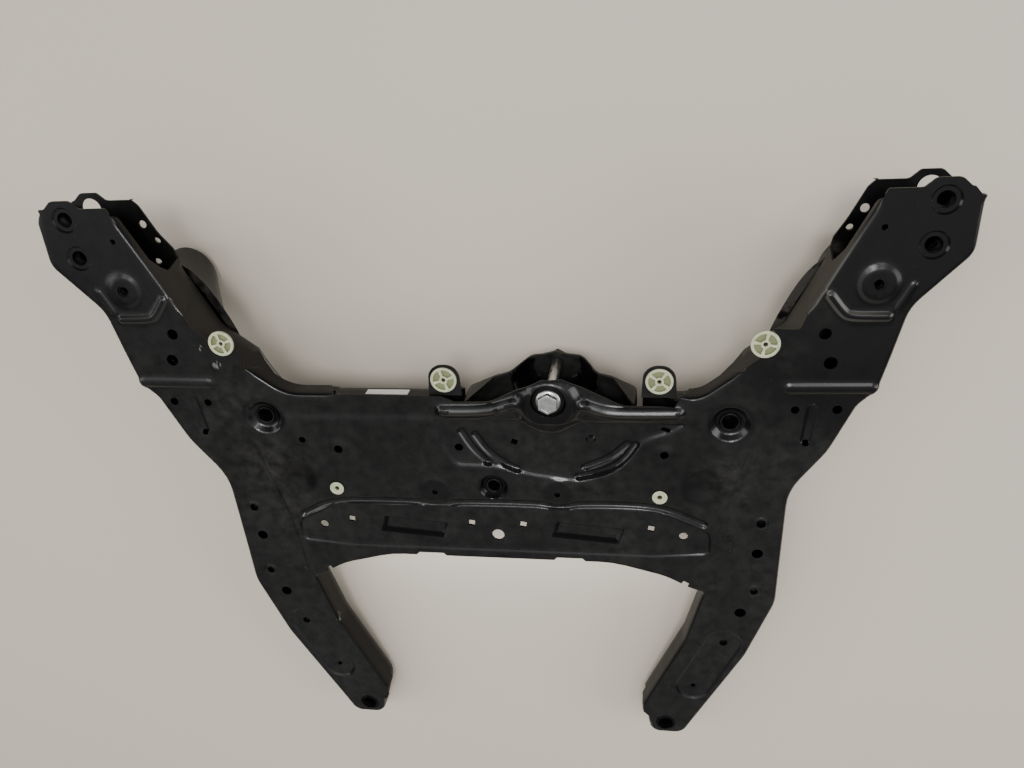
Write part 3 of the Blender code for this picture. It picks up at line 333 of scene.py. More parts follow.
def circle(centre: Spot, radius: float, count: int = 32) -> np.ndarray:
    """Points of a circle."""
    angles = np.arange(count) * 2 * math.pi / count
    return np.stack([centre[0] + radius * np.cos(angles), centre[1] + radius * np.sin(angles)], axis=1)


def window(centre: Spot, width: float, height: float, radius: float = 1.2) -> np.ndarray:
    """Points of an upright rectangle with small round corners.

    Args:
        centre: its middle.
        width: its size along x.
        height: its size along y.
        radius: radius of its corners.

    Returns:
        Its points, anticlockwise.
    """
    w, h = width / 2, height / 2
    corners = [Rim(centre[0] + a * w, centre[1] + b * h, radius) for a, b in CORNERS]
    return np.array([(rim.x, rim.y) for rim in rounded(corners)])


def inside(loop: np.ndarray, points: np.ndarray) -> np.ndarray:
    """Which points lie inside a closed anticlockwise loop.

    Args:
        loop: the loop.
        points: one row per point.

    Returns:
        True for each point inside it.
    """
    x, y = points[:, 0], points[:, 1]
    turns = np.zeros(len(points), int)
    for (x1, y1), (x2, y2) in zip(loop, np.roll(loop, -1, axis=0)):
        if y1 != y2:
            crosses = ((y1 > y) != (y2 > y)) & (x < (x2 - x1) * (y - y1) / (y2 - y1) + x1)
            turns += np.where(crosses, 1 if y2 > y1 else -1, 0)
    return turns > 0


def distance_to(path: np.ndarray, points: np.ndarray, closed: bool) -> np.ndarray:
    """Distance from each point to a path of straight runs.

    Args:
        path: corners of the path.
        points: one row per point.
        closed: whether the last corner is joined to the first.

    Returns:
        The distances.
    """
    path = np.asarray(path, float)
    if len(path) == 1:
        return np.linalg.norm(points - path[0], axis=1)
    ends = np.roll(path, -1, axis=0) if closed else path[1:]
    starts = path if closed else path[:-1]
    best = np.full(len(points), np.inf)
    for a, b in zip(starts, ends):
        run = b - a
        share = np.clip((points - a) @ run / max(float(run @ run), 1e-9), 0, 1)
        best = np.minimum(best, np.linalg.norm(points - a - share[:, None] * run, axis=1))
    return best


def softened(path: Sequence[Spot], rounds: int = 3) -> np.ndarray:
    """A path with its corners cut into curves.

    Args:
        path: its corners.
        rounds: how often the corners are cut.

    Returns:
        The path with more points.
    """
    points = np.array(path, float)
    for _ in range(rounds if len(points) > 2 else 0):
        quarter = points[:-1] * 0.75 + points[1:] * 0.25
        three = points[:-1] * 0.25 + points[1:] * 0.75
        points = np.vstack([points[:1], np.stack([quarter, three], axis=1).reshape(-1, 2)[1:-1], points[-1:]])
    return points


def resampled(loop: np.ndarray, spacing: float, closed: bool) -> np.ndarray:
    """A path with points at about one spacing, its own points kept.

    Args:
        loop: its corners.
        spacing: the longest step.
        closed: whether the last corner is joined to the first.

    Returns:
        The path with more points.
    """
    out: list[np.ndarray] = []
    ends = np.roll(loop, -1, axis=0) if closed else loop[1:]
    for a, b in zip(loop if closed else loop[:-1], ends):
        parts = max(1, math.ceil(float(np.linalg.norm(b - a)) / spacing))
        out += [a + (b - a) * part / parts for part in range(parts)]
    return np.array(out if closed else out + [loop[-1]])


def eased(share: np.ndarray) -> np.ndarray:
    """A rise from 0 to 1 with soft ends."""
    t = np.clip(share, 0, 1)
    return t * t * (3 - 2 * t)


# Forms pressed into a sheet

@dataclass(frozen=True)
class Bead:
    """A round dimple, or a bead along a path.

    floor is its flat half width, wall the width of its sloping side, and height its rise.
    """

    path: tuple[Spot, ...]
    floor: float
    wall: float
    height: float

    def line(self) -> np.ndarray:
        """Middle line of the form."""
        return softened(self.path)

    def rise(self, points: np.ndarray) -> np.ndarray:
        """Height added at each point.

        Args:
            points: one row per point.

        Returns:
            The heights.
        """
        line = self.line()
        reach = self.floor + self.wall
        near = np.all((points > line.min(0) - reach) & (points < line.max(0) + reach), axis=1)
        total = np.zeros(len(points))
        if near.any():
            away = distance_to(line, points[near], False)
            total[near] = self.height * eased((reach - away) / self.wall)
        return total

    def loops(self, spacing: float) -> list[tuple[np.ndarray, bool]]:
        """Loops that the mesh must follow, from the foot of the form to the edge of its floor.

        Args:
            spacing: the longest step along a loop.

        Returns:
            Each loop, and whether it is closed.
        """
        shares = (1.0, 0.66, 0.33) if self.wall > 3 else (1.0, 0.5)
        found = [(self.ring(self.floor + self.wall * share, spacing), True) for share in shares]
        if len(self.path) > 1:
            found.append((resampled(self.line(), spacing, False), False))
        if self.floor > 1.0 or len(self.path) == 1:
            found.append((self.ring(self.floor, spacing), True))
        return found

    def ring(self, radius: float, spacing: float) -> np.ndarray:
        """Loop at one distance round the path.

        Args:
            radius: its distance from the path.
            spacing: the longest step along it.

        Returns:
            The loop's points.
        """
        line = self.line()
        if len(line) == 1:
            count = max(12, math.ceil(2 * math.pi * radius / spacing))
            return circle((line[0][0], line[0][1]), radius, count)
        runs = np.diff(line, axis=0)
        runs /= np.linalg.norm(runs, axis=1)[:, None]
        left = np.stack([-runs[:, 1], runs[:, 0]], axis=1)
        joints = np.vstack([left[:1], (left[:-1] + left[1:]) / 2, left[-1:]])
        joints /= np.linalg.norm(joints, axis=1)[:, None]
        caps = []
        for spot, run in ((line[-1], runs[-1]), (line[0], -runs[0])):
            side = np.array([-run[1], run[0]])
            count = max(3, math.ceil(math.pi * radius / spacing / 1.5))
            angles = [math.pi * k / count for k in range(1, count)]
            caps.append([spot + radius * (side * math.cos(a) + run * math.sin(a)) for a in angles])
        loop = [*(line + joints * radius), *caps[0], *(line - joints * radius)[::-1], *caps[1]]
        return resampled(np.array(loop), spacing, True)


@dataclass(frozen=True)
class Field:
    """A region raised or sunk inside its outline, with slope added for each mm ahead of its first corner."""

    corners: tuple[tuple[float, float, float], ...]
    wall: float
    height: float
    slope: float = 0.0

    def outline(self) -> list[Rim]:
        """Rounded outline of the region."""
        return rounded([Rim(x, y, r) for x, y, r in self.corners])

    def rise(self, points: np.ndarray) -> np.ndarray:
        """Height added at each point.

        Args:
            points: one row per point.

        Returns:
            The heights.
        """
        loop = np.array([(rim.x, rim.y) for rim in self.outline()])
        within = inside(loop, points)
        total = np.zeros(len(points))
        if within.any():
            depth = distance_to(loop, points[within], True)
            height = self.height + self.slope * (points[within][:, 1] - self.corners[0][1])
            total[within] = height * eased(depth / self.wall)
        return total

    def loops(self, spacing: float) -> list[tuple[np.ndarray, bool]]:
        """Loops that the mesh must follow, from the foot of the form to the edge of its floor.

        Args:
            spacing: the longest step along a loop.

        Returns:
            Each loop, and whether it is closed.
        """
        outer = self.outline()
        found = []
        for share in (0.0, 0.33, 0.66, 1.0):
            loop = np.array([(rim.x, rim.y) for rim in (inset(outer, self.wall * share) if share else outer)])
            found.append((resampled(loop, spacing, True), True))
        return found


Form = Bead | Field


# Pressed sheets

@dataclass
class PressedSheet:
    """A pressed sheet: a face with forms and holes, and a folded wall round its outline."""

    name: str
    rims: list[Rim]
    levels: tuple[Spot, ...]
    forms: list[Form]
    holes: list[np.ndarray]
    skin: Skin
    thickness: float = SHEET
    grid: float = 5.0
    spacing: float = 3.5
    level_blur: float = 12.0
    wall_end: Callable[[np.ndarray, np.ndarray], np.ndarray] | None = None
    wall_rows: int = 3
    sharp: float = 62.0
    break_width: float = 0.45
    soft: float = 34.0

    def base(self, points: np.ndarray) -> np.ndarray:
        """Level of the sheet before its forms, with its creases rounded.

        Args:
            points: one row per point.

        Returns:
            The levels.
        """
        ys, zs = [s[0] for s in self.levels], [s[1] for s in self.levels]
        shifts = np.linspace(-self.level_blur, self.level_blur, 7)
        return sum(np.interp(points[:, 1] + shift, ys, zs) for shift in shifts) / len(shifts)

    def height(self, points: np.ndarray) -> np.ndarray:
        """Level of the outer skin at each point."""
        return self.base(points) + sum(form.rise(points) for form in self.forms)

    def at(self, spot: Spot) -> float:
        """Level of the outer skin at one point."""
        return float(self.height(np.array([spot], float))[0])

    def face_loop(self) -> np.ndarray:
        """Loop where the flat face meets the fold, or the cut rim where there is no fold.

        Returns:
            The loop's points, one for each rim.
        """
        points = np.array([(rim.x, rim.y) for rim in self.rims])
        reach = [CUT_RIM + rim.fold * (rim.draft + FOLD_RADIUS - CUT_RIM) for rim in self.rims]
        return points + corner_offsets(points) * np.array(reach)[:, None]

    def triangulate(self) -> tuple[np.ndarray, np.ndarray, np.ndarray]:
        """Fill the face with triangles.

        Returns:
            The flat points, the triangles, and the loop round the face.
        """
        edge = self.face_loop()
        loops = [(edge, True)]
        loops += [(resampled(hole, self.spacing, True), True) for hole in self.holes]
        for form in self.forms:
            loops += form.loops(self.spacing)
        coords: list[np.ndarray] = []
        links: list[tuple[int, int]] = []
        for loop, closed in loops:
            first, count = len(coords), len(loop)
            coords += list(loop)
            links += [(first + k, first + (k + 1) % count) for k in range(count if closed else count - 1)]
        taken = KDTree(len(coords))
        for index, spot in enumerate(coords):
            taken.insert((float(spot[0]), float(spot[1]), 0.0), index)
        taken.balance()
        low, high = edge.min(0), edge.max(0)
        rows = np.arange(low[1] + self.grid / 2, high[1], self.grid * 0.87)
        starts = [low[0] + self.grid * (0.5 + 0.5 * (k % 2)) for k in range(len(rows))]
        lattice = np.array([(x, y) for start, y in zip(starts, rows)
                            for x in np.arange(start, high[0], self.grid)])
        lattice = lattice[inside(edge, lattice)]
        near = self.grid * 0.45
        coords += [spot for spot in lattice if taken.find((spot[0], spot[1], 0.0))[2] > near]
        flat, _, tris, _, _, _ = delaunay_2d_cdt([Vector(spot) for spot in coords], links, [], 0, 0.02)
        points = np.array([tuple(p) for p in flat])
        cells = np.array([t for t in tris if len(t) == 3])
        spans = points[cells]
        first, second = spans[:, 1] - spans[:, 0], spans[:, 2] - spans[:, 0]
        area = first[:, 0] * second[:, 1] - first[:, 1] * second[:, 0]
        middles = spans.mean(1)
        keep = inside(edge, middles) & (np.abs(area) > 1e-5)
        for hole in self.holes:
            box = np.all((middles > hole.min(0)) & (middles < hole.max(0)), axis=1) & keep
            keep[box] &= ~inside(hole, middles[box])
        cells, area = cells[keep], area[keep]
        cells[area < 0] = cells[area < 0][:, ::-1]
        return points, cells, edge

    def border(self, cells: np.ndarray, points: np.ndarray, edge: np.ndarray) -> list[tuple[int, int]]:
        """Edges of the face that lie on its outline, in the direction of their triangle.

        Args:
            cells: the triangles.
            points: the flat points.
            edge: the loop round the face.

        Returns:
            Pairs of point numbers.
        """
        pairs = np.vstack([cells[:, (0, 1)], cells[:, (1, 2)], cells[:, (2, 0)]])
        keys = {tuple(pair) for pair in pairs.tolist()}
        open_pairs = [pair for pair in keys if (pair[1], pair[0]) not in keys]
        ends = np.array(open_pairs)
        close = distance_to(edge, points[np.unique(ends)], True) < 0.05
        on_loop = dict(zip(np.unique(ends).tolist(), close.tolist()))
        return [pair for pair in open_pairs if on_loop[pair[0]] and on_loop[pair[1]]]

    def columns(self, spots: np.ndarray, edge: np.ndarray, z: np.ndarray) -> np.ndarray:
        """Points over the fold and down the wall, for points of the face loop.

        Args:
            spots: the flat points on the loop.
            edge: the loop round the face.
            z: their levels.

        Returns:
            An array of rows of points, from the face outward.
        """
        ends = np.roll(edge, -1, axis=0)
        runs = ends - edge
        lengths = np.maximum((runs * runs).sum(1), 1e-9)
        found = []
        for spot in spots:
            share = np.clip(((spot - edge) * runs).sum(1) / lengths, 0, 1)
            away = np.linalg.norm(edge + share[:, None] * runs - spot, axis=1)
            index = int(np.argmin(away))
            after = self.rims[(index + 1) % len(self.rims)]
            found.append(blend(self.rims[index], after, float(share[index])))
        outer = np.array([(rim.x, rim.y) for rim in found])
        fold = np.array([rim.fold for rim in found])
        wall = np.array([rim.wall for rim in found])
        reach = np.maximum(np.linalg.norm(outer - spots, axis=1), 1e-6)
        away = (outer - spots) / reach[:, None]
        sign = self.skin.value
        end = z - sign * wall if self.wall_end is None else self.wall_end(outer, wall)
        folded_reach = np.maximum(reach, FOLD_RADIUS)
        bottom = z - sign * FOLD_RADIUS
        steps = []
        for angle in np.radians((18, 36, 54, 72, 90)):
            out = np.full(len(z), FOLD_RADIUS * math.sin(angle))
            steps.append((out, z - sign * FOLD_RADIUS * (1 - math.cos(angle))))
        slant = folded_reach - FOLD_RADIUS
        knee = bottom - sign * np.minimum(slant * 1.6, np.abs(end - bottom) * 0.75)
        if self.wall_end is not None:
            steps.append((folded_reach, knee))
        start = steps[-1][1]
        for row in range(1, self.wall_rows + 1):
            steps.append((folded_reach, start + (end - start) * row / self.wall_rows))
        rows = []
        for index, (out, height) in enumerate(steps):
            share = (index + 1) / len(steps)
            wide = reach if index == len(steps) - 1 else out * fold + reach * share * (1 - fold)
            level = height * fold + z * (1 - fold)
            rows.append(np.column_stack([spots + away * wide[:, None], level]))
        return np.array(rows)

    def build(self) -> bpy.types.Object:
        """Make the sheet.

        Returns:
            The finished object, with its thickness and its broken edges.
        """
        flat, cells, edge = self.triangulate()
        heights = self.height(flat)
        pairs = self.border(cells, flat, edge)
        starts = sorted({point for pair in pairs for point in pair})
        order = {point: k for k, point in enumerate(starts)}
        rows = self.columns(flat[starts], edge, heights[starts])
        count = len(flat)
        points = np.vstack([np.column_stack([flat, heights]), rows.reshape(-1, 3)])

        def number(row: int, point: int) -> int:
            """Index of a column's point, where row 0 is the face itself."""
            return point if row == 0 else count + (row - 1) * len(starts) + order[point]

        faces = [tuple(cell) for cell in cells.tolist()]
        for a, b in pairs:
            for row in range(len(rows)):
                faces.append((number(row, b), number(row, a), number(row + 1, a), number(row + 1, b)))
        if self.skin is Skin.BACK:
            faces = [face[::-1] for face in faces]
        thing = Bench.cut(self.name, points, faces)
        cleaner = bmesh.new()
        cleaner.from_mesh(thing.data)
        bmesh.ops.delete(cleaner, geom=[v for v in cleaner.verts if not v.link_faces], context="VERTS")
        cleaner.to_mesh(thing.data)
        cleaner.free()
        wall = thing.modifiers.new("wall", "SOLIDIFY")
        wall.thickness = self.thickness * MM
        wall.offset = -1.0
        edges = thing.modifiers.new("edges", "BEVEL")
        edges.limit_method = "ANGLE"
        edges.angle_limit = math.radians(self.sharp)
        edges.width = self.break_width * MM
        edges.segments = 1
        Bench.apply(thing)
        Bench.smooth(thing, self.soft)
        return thing


class Bench:
    """Hand operations in edit mode, each on one selected object."""

    @staticmethod
    def cut(name: str, points: np.ndarray, faces: Sequence[tuple[int, ...]]) -> bpy.types.Object:
        """Lay out a mesh from its points and faces.

        Args:
            name: the piece's name.
            points: its points, in working millimetres.
            faces: the numbers of the points round each face.

        Returns:
            The new piece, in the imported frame.
        """
        data = bpy.data.meshes.new(name)
        data.from_pydata(Stage.place(points).tolist(), [], faces)
        thing = bpy.data.objects.new(name, data)
        bpy.context.collection.objects.link(thing)
        return thing

    @staticmethod
    def take(thing: bpy.types.Object) -> None:
        """Make a piece the only selected one."""
        bpy.ops.object.select_all(action="DESELECT")
        thing.select_set(True)
        bpy.context.view_layer.objects.active = thing

    @staticmethod
    def apply(thing: bpy.types.Object) -> None:
        """Apply all modifiers of a piece.

        Args:
            thing: the piece.
        """
        Bench.take(thing)
        for name in [modifier.name for modifier in thing.modifiers]:
            bpy.ops.object.modifier_apply(modifier=name)

    @staticmethod
    def smooth(thing: bpy.types.Object, angle: float) -> None:
        """Shade a piece smooth, with edges sharper than an angle in degrees kept."""
        Bench.take(thing)
        bpy.ops.object.shade_smooth_by_angle(angle=math.radians(angle))

    @staticmethod
    def settle(thing: bpy.types.Object) -> None:
        """Turn a piece's place and size into its mesh."""
        Bench.take(thing)
        bpy.ops.object.transform_apply(location=True, rotation=True, scale=True)

    @staticmethod
    def turned(name: str, centre: Spot, profile: Sequence[Spot], sides: int = 48) -> bpy.types.Object:
        """Model a round piece by extruding and resizing a circle, as on a lathe.

        Args:
            name: the piece's name.
            centre: where its axis stands.
            profile: radius and level of each step, in order down the outside.
            sides: number of sides of the circle.

        Returns:
            The piece, closed to a ring when the profile ends where it starts, and capped otherwise.
        """
        spot = Stage.place(np.array([[centre[0], centre[1], 0.0]]))[0]
        closed = profile[0] == profile[-1]
        steps = list(profile[:-1] if closed else profile)
        radius, level = steps[0]
        place = Vector((spot[0], spot[1], spot[2] + level * MM))
        fill = "NOTHING" if closed else "NGON"
        bpy.ops.object.select_all(action="DESELECT")
        bpy.ops.mesh.primitive_circle_add(vertices=sides, radius=radius * MM, fill_type=fill, location=place)
        thing = bpy.context.object
        thing.name = name
        thing.data.name = name
        bpy.ops.object.mode_set(mode="EDIT")
        bpy.ops.mesh.select_all(action="SELECT")
        for wide, height in steps[1:]:
            rise = (0.0, 0.0, (height - level) * MM)
            if closed:
                bpy.ops.mesh.extrude_edges_move(TRANSFORM_OT_translate={"value": rise})
            else:
                bpy.ops.mesh.extrude_region_move(TRANSFORM_OT_translate={"value": rise})
            place.z += rise[2]
            scale = wide / radius
            bpy.ops.transform.resize(value=(scale, scale, 1.0), center_override=place)
            radius, level = wide, height
        if closed:
            shape = bmesh.from_edit_mesh(thing.data)
            shape.verts.ensure_lookup_table()
            for index in range(sides):
                shape.verts[index].select = True
            shape.select_flush(True)
            bmesh.update_edit_mesh(thing.data)
            bpy.ops.mesh.bridge_edge_loops()
        bpy.ops.mesh.select_all(action="SELECT")
        bpy.ops.mesh.normals_make_consistent(inside=False)
        bpy.ops.object.mode_set(mode="OBJECT")
        Bench.settle(thing)
        Bench.smooth(thing, 32.0)
        return thing


# Shader expressions

class Wire:
    """A socket in a shader expression, on which the usual operators work."""

    def __init__(self, graph: "Graph", socket: bpy.types.NodeSocket) -> None:
        """Wrap a socket of a graph."""
        self.graph = graph
        self.socket = socket

    def _maths(self, operation: str, *values: "Wire | float") -> "Wire":
        """Add a Math node on these values."""
        node = self.graph.place("ShaderNodeMath", {"operation": operation}, dict(enumerate(values)))
        return Wire(self.graph, node.outputs[0])

    def __add__(self, other: "Wire | float") -> "Wire":
        """Sum."""
        return self._maths("ADD", self, other)

    __radd__ = __add__

    def __sub__(self, other: "Wire | float") -> "Wire":
        """Difference."""
        return self._maths("SUBTRACT", self, other)

    def __rsub__(self, other: "Wire | float") -> "Wire":
        """Difference from a plain number."""
        return self._maths("SUBTRACT", other, self)

    def __mul__(self, other: "Wire | float") -> "Wire":
        """Product."""
        return self._maths("MULTIPLY", self, other)

    __rmul__ = __mul__

    def above(self, low: float, high: float) -> "Wire":
        """Soft step from 0 at low to 1 at high.

        Args:
            low: where it starts.
            high: where it ends.

        Returns:
            The step.
        """
        settings = {"interpolation_type": "SMOOTHSTEP"}
        node = self.graph.place("ShaderNodeMapRange", settings, {0: self, 1: low, 2: high, 3: 0.0, 4: 1.0})
        return Wire(self.graph, node.outputs[0])

    def size(self) -> "Wire":
        """The value without its sign."""
        return self._maths("ABSOLUTE", self)

    def larger(self, other: "Wire | float") -> "Wire":
        """The larger of two."""
        return self._maths("MAXIMUM", self, other)


class Graph:
    """The node graph of one material."""

    def __init__(self, name: str) -> None:
        """Start a material with one shader.

        Args:
            name: the material's name.
        """
        self.material = bpy.data.materials.new(name)
        self.material.use_nodes = True
        self.tree = self.material.node_tree
        self.shader = self.tree.nodes["Principled BSDF"]
        texture = self.place("ShaderNodeTexCoord", {}, {})
        self.where = Wire(self, texture.outputs["Object"])
        self.facing = Wire(self, texture.outputs["Normal"])

    def place(self, kind: str, settings: dict, sockets: dict) -> bpy.types.Node:
        """Add a node.

        Args:
            kind: the node's type.
            settings: its own settings, which are set first.
            sockets: values or wires for its inputs, by name or number.

        Returns:
            The node.
        """
        node = self.tree.nodes.new(kind)
        for key, value in settings.items():
            setattr(node, key, value)
        for key, value in sockets.items():
            self.join(value, node.inputs[key])
        return node

    def join(self, value: "Wire | float | tuple", socket: bpy.types.NodeSocket) -> None:
        """Feed a socket with a wire or a value.

        Args:
            value: what feeds it.
            socket: the socket.
        """
        if isinstance(value, Wire):
            self.tree.links.new(value.socket, socket)
        else:
            socket.default_value = value

    def feed(self, **inputs: "Wire | float | tuple") -> bpy.types.Material:
        """Feed the shader's sockets, named with underscores for spaces, and return the material."""
        for key, value in inputs.items():
            self.join(value, self.shader.inputs[key.replace("_", " ")])
        return self.material

    def noise(self, scale: float, detail: float = 3.0, roughness: float = 0.55,
              stretch: tuple[float, float, float] | None = None) -> Wire:
        """Cloudy noise from 0 to 1.

        Args:
            scale: waves a metre.
            detail: number of finer layers.
            roughness: strength of the finer layers.
            stretch: scale of the pattern along each axis, where it isn't even.

        Returns:
            The noise.
        """
        where = self.where
        if stretch is not None:
            mapping = self.place("ShaderNodeMapping", {}, {"Vector": where, "Scale": stretch})
            where = Wire(self, mapping.outputs[0])
        sockets = {"Vector": where, "Scale": scale, "Detail": detail, "Roughness": roughness}
        return Wire(self, self.place("ShaderNodeTexNoise", {}, sockets).outputs[0])

    def cells(self, scale: float) -> Wire:
        """Distance from the nearest of scattered points."""
        sockets = {"Vector": self.where, "Scale": scale, "Randomness": 1.0}
        return Wire(self, self.place("ShaderNodeTexVoronoi", {}, sockets).outputs["Distance"])

    def part(self, vector: Wire, axis: str) -> Wire:
        """One component of a vector."""
        return Wire(self, self.place("ShaderNodeSeparateXYZ", {}, {0: vector}).outputs[axis])

    def near(self, mark: "Mark") -> Wire:
        """Mask that falls from 1 at a marked place to 0 at its reach.

        Args:
            mark: the place.

        Returns:
            The mask, without the mark's strength.
        """
        place = tuple(Stage.place(np.array([mark.spot]))[0])
        node = self.place("ShaderNodeVectorMath", {"operation": "DISTANCE"}, {0: self.where, 1: place})
        return 1.0 - Wire(self, node.outputs["Value"]).above(0.0, mark.reach * MM)

    def mix(self, share: Wire, first: Wire | Tint, second: Wire | Tint) -> Wire:
        """Blend two colours.

        Args:
            share: 0 for the first and 1 for the second.
            first: the first colour.
            second: the second colour.

        Returns:
            The blend.
        """
        colours = [colour if isinstance(colour, Wire) else (*colour, 1.0) for colour in (first, second)]
        node = self.place("ShaderNodeMix", {"data_type": "RGBA"}, {0: share, 6: colours[0], 7: colours[1]})
        return Wire(self, node.outputs[2])

    def bump(self, height: Wire, depth: float) -> Wire:
        """Normal of a bumpy surface, its depth in millimetres."""
        node = self.place("ShaderNodeBump", {}, {"Height": height, "Distance": depth * MM, "Strength": 1.0})
        return Wire(self, node.outputs["Normal"])


# Finishes

@dataclass(frozen=True)
class Mark:
    """A dusty, rubbed or clear place on the coat, in working millimetres."""

    spot: tuple[float, float, float]
    reach: float
    strength: float = 1.0


@dataclass(frozen=True)
class BlackCoat:
    """Black dip coat: glossy on its forms, under a thin film of dust where it lies flat.

    dusty places have patches of dust on flat parts, powdery ones have it on walls, at rubbed ones the metal
    shows, and clear ones leave the film off, as painted shade on the bore dishes, dimples, nut bosses, the
    cone and the right arm's front.
    """

    dusty: tuple[Mark, ...]
    powdery: tuple[Mark, ...]
    rubbed: tuple[Mark, ...]
    clear: tuple[Mark, ...]
    name: str = "black_coat"
    clean: Tint = (0.0016, 0.0016, 0.0017)
    film: Tint = (0.0245, 0.0246, 0.0232)
    dust: Tint = (0.060, 0.056, 0.048)
    metal: Tint = (0.42, 0.41, 0.39)
    steep: tuple[float, float] = (0.86, 0.965)
    # Y range in metres over which the film thins towards the arms, as painted shade
    arms: tuple[float, float] = (0.12, 0.30)

    def material(self) -> bpy.types.Material:
        """Build the material."""
        graph = Graph(self.name)
        cloud = graph.noise(6.0, 4.0).above(0.3, 0.7)
        mottle = graph.noise(70.0, 4.0, 0.6)
        grit = graph.noise(900.0, 2.0)
        level = graph.part(graph.facing, "Z").size()
        flat = level.above(*self.steep)
        # painted shade: the dust film thins towards the arms, so they come out darker
        ahead = 1.0 - graph.part(graph.where, "Y").above(*self.arms) * 0.62
        wiped = graph.noise(34.0, 3.0, 0.6, (1.0, 0.3, 1.0)).above(0.3, 0.75)
        film_and_shade = flat * ahead * (0.45 + cloud * 0.4 + wiped * 0.35) * mottle.above(0.05, 0.8)
        gloss = level.above(0.2, 0.6) * (1.0 - flat * (0.7 + film_and_shade * 0.2))
        # painted shade: the clear places leave the film off, darkening dishes, dimples, nut bosses, cone and
        # arm front
        for mark in self.clear:
            film_and_shade = film_and_shade * (1.0 - graph.near(mark).above(0.05, 0.35) * mark.strength)
        base = graph.mix(film_and_shade, self.clean, self.film)
        spots = graph.noise(260.0, 3.0, 0.7).above(0.6, 0.74) * film_and_shade * 0.12
        patchy = mottle.above(0.3, 0.8) * flat
        for mark in self.dusty:
            spots = spots.larger(graph.near(mark) * mark.strength * patchy)
        for mark in self.powdery:
            spots = spots.larger(graph.near(mark).above(0.0, 0.5) * mark.strength * (1.0 - flat))
        base = graph.mix(spots, base, self.dust)
        specks = (1.0 - graph.cells(170.0).above(0.03, 0.075)) * graph.noise(31.0, 2.0).above(0.58, 0.68)
        base = graph.mix(specks * 0.35, base, self.metal)
        streak = graph.noise(240.0, 3.0, 0.6, (1.0, 0.35, 1.0)).above(0.52, 0.6)
        rubs = [graph.near(mark).above(0.25, 0.7) * streak * mark.strength for mark in self.rubbed]
        base = graph.mix(reduce(Wire.larger, rubs), base, self.metal)
        rough = 0.34 + film_and_shade * 0.16 + mottle * 0.1 + spots * 0.3
        skin = grit * 0.3 + mottle + cloud * 0.8
        return graph.feed(Base_Color=base, Roughness=rough, Normal=graph.bump(skin, 0.1), IOR=1.26,
                          Coat_Weight=gloss, Coat_Roughness=0.2, Coat_IOR=1.45)


@dataclass(frozen=True)
class BareSteel:
    """Dull machined steel with a trace of coat and rust film."""

    name: str = "bare_steel"
    bright: Tint = (0.025, 0.0245, 0.024)
    dark: Tint = (0.006, 0.006, 0.006)

    def material(self) -> bpy.types.Material:
        """Build the material."""
        graph = Graph(self.name)
        cloud = graph.noise(120.0, 3.0).above(0.35, 0.65)
        rings = graph.noise(60.0, 2.0, 0.5, (1.0, 1.0, 30.0))
        base = graph.mix(cloud, self.dark, self.bright)
        return graph.feed(Base_Color=base, Metallic=0.85, Roughness=0.36 + rings * 0.25,
                          Normal=graph.bump(rings, 0.08))


@dataclass(frozen=True)
class ZincPlate:
    """Bright zinc plating with fine marks."""

    name: str = "zinc_plate"
    bright: Tint = (0.66, 0.66, 0.645)
    dull: Tint = (0.36, 0.355, 0.34)

    def material(self) -> bpy.types.Material:
        """Build the material."""
        graph = Graph(self.name)
        cloud = graph.noise(150.0, 4.0).above(0.35, 0.7)
        grain = graph.noise(800.0, 2.0)
        base = graph.mix(cloud * 0.7, self.bright, self.dull)
        return graph.feed(Base_Color=base, Metallic=1.0, Roughness=0.27 + cloud * 0.16,
                          Normal=graph.bump(grain, 0.03))


@dataclass(frozen=True)
class Nylon:
    """Pale greenish white nylon, a little grimy, with painted shade in the recesses below the rim of a clip.
    """

    name: str = "natural_plastic"
    clean: Tint = (0.67, 0.69, 0.47)
    grimy: Tint = (0.4, 0.42, 0.24)
    # painted shade: colours of the recesses below the rim, near black deepest down
    hollow_shade: Tint = (0.27, 0.29, 0.15)
    deep_shade: Tint = (0.02, 0.02, 0.012)
    rim: float | None = None

    def material(self) -> bpy.types.Material:
        """Build the material."""
        graph = Graph(self.name)
        cloud = graph.noise(210.0, 4.0).above(0.42, 0.72)
        grain = graph.noise(1500.0, 2.0)
        base = graph.mix(cloud * 0.55, self.clean, self.grimy)
        if self.rim is not None:
            height = graph.part(graph.where, "Z")
            # painted shade: bands below the rim darken step by step, standing in for the shade inside the
            # clip
            for bottom, top, colour in ((2.6, 0.9, self.hollow_shade), (5.6, 4.0, self.deep_shade)):
                raised = height.above(self.rim - bottom * MM, self.rim - top * MM)
                base = graph.mix(1.0 - raised, base, colour)
        return graph.feed(Base_Color=base, Roughness=0.42 + cloud * 0.15, Normal=graph.bump(grain, 0.02))


@dataclass(frozen=True)
class LabelPaper:
    """Blank white label paper, a little soiled."""

    name: str = "label_paper"
    white: Tint = (0.93, 0.93, 0.91)
    soiled: Tint = (0.84, 0.83, 0.8)

    def material(self) -> bpy.types.Material:
        """Build the material."""
        graph = Graph(self.name)
        cloud = graph.noise(90.0, 4.0).above(0.4, 0.75)
        base = graph.mix(cloud, self.white, self.soiled)
        return graph.feed(Base_Color=base, Roughness=0.55, Normal=graph.bump(graph.noise(700.0), 0.03))


@dataclass(frozen=True)
class Plaster:
    """Plain pale floor, a little cloudy."""

    name: str = "floor"
    pale: Tint = (0.84, 0.755, 0.63)
    shaded: Tint = (0.84 * 0.94, 0.755 * 0.94, 0.63 * 0.94)

    def material(self) -> bpy.types.Material:
        """Build the material."""
        graph = Graph(self.name)
        cloud = graph.noise(2.0, 3.0)
        base = graph.mix(cloud * 0.5, self.pale, self.shaded)
        return graph.feed(Base_Color=base, Roughness=0.75)


# The two shells and the torque pocket

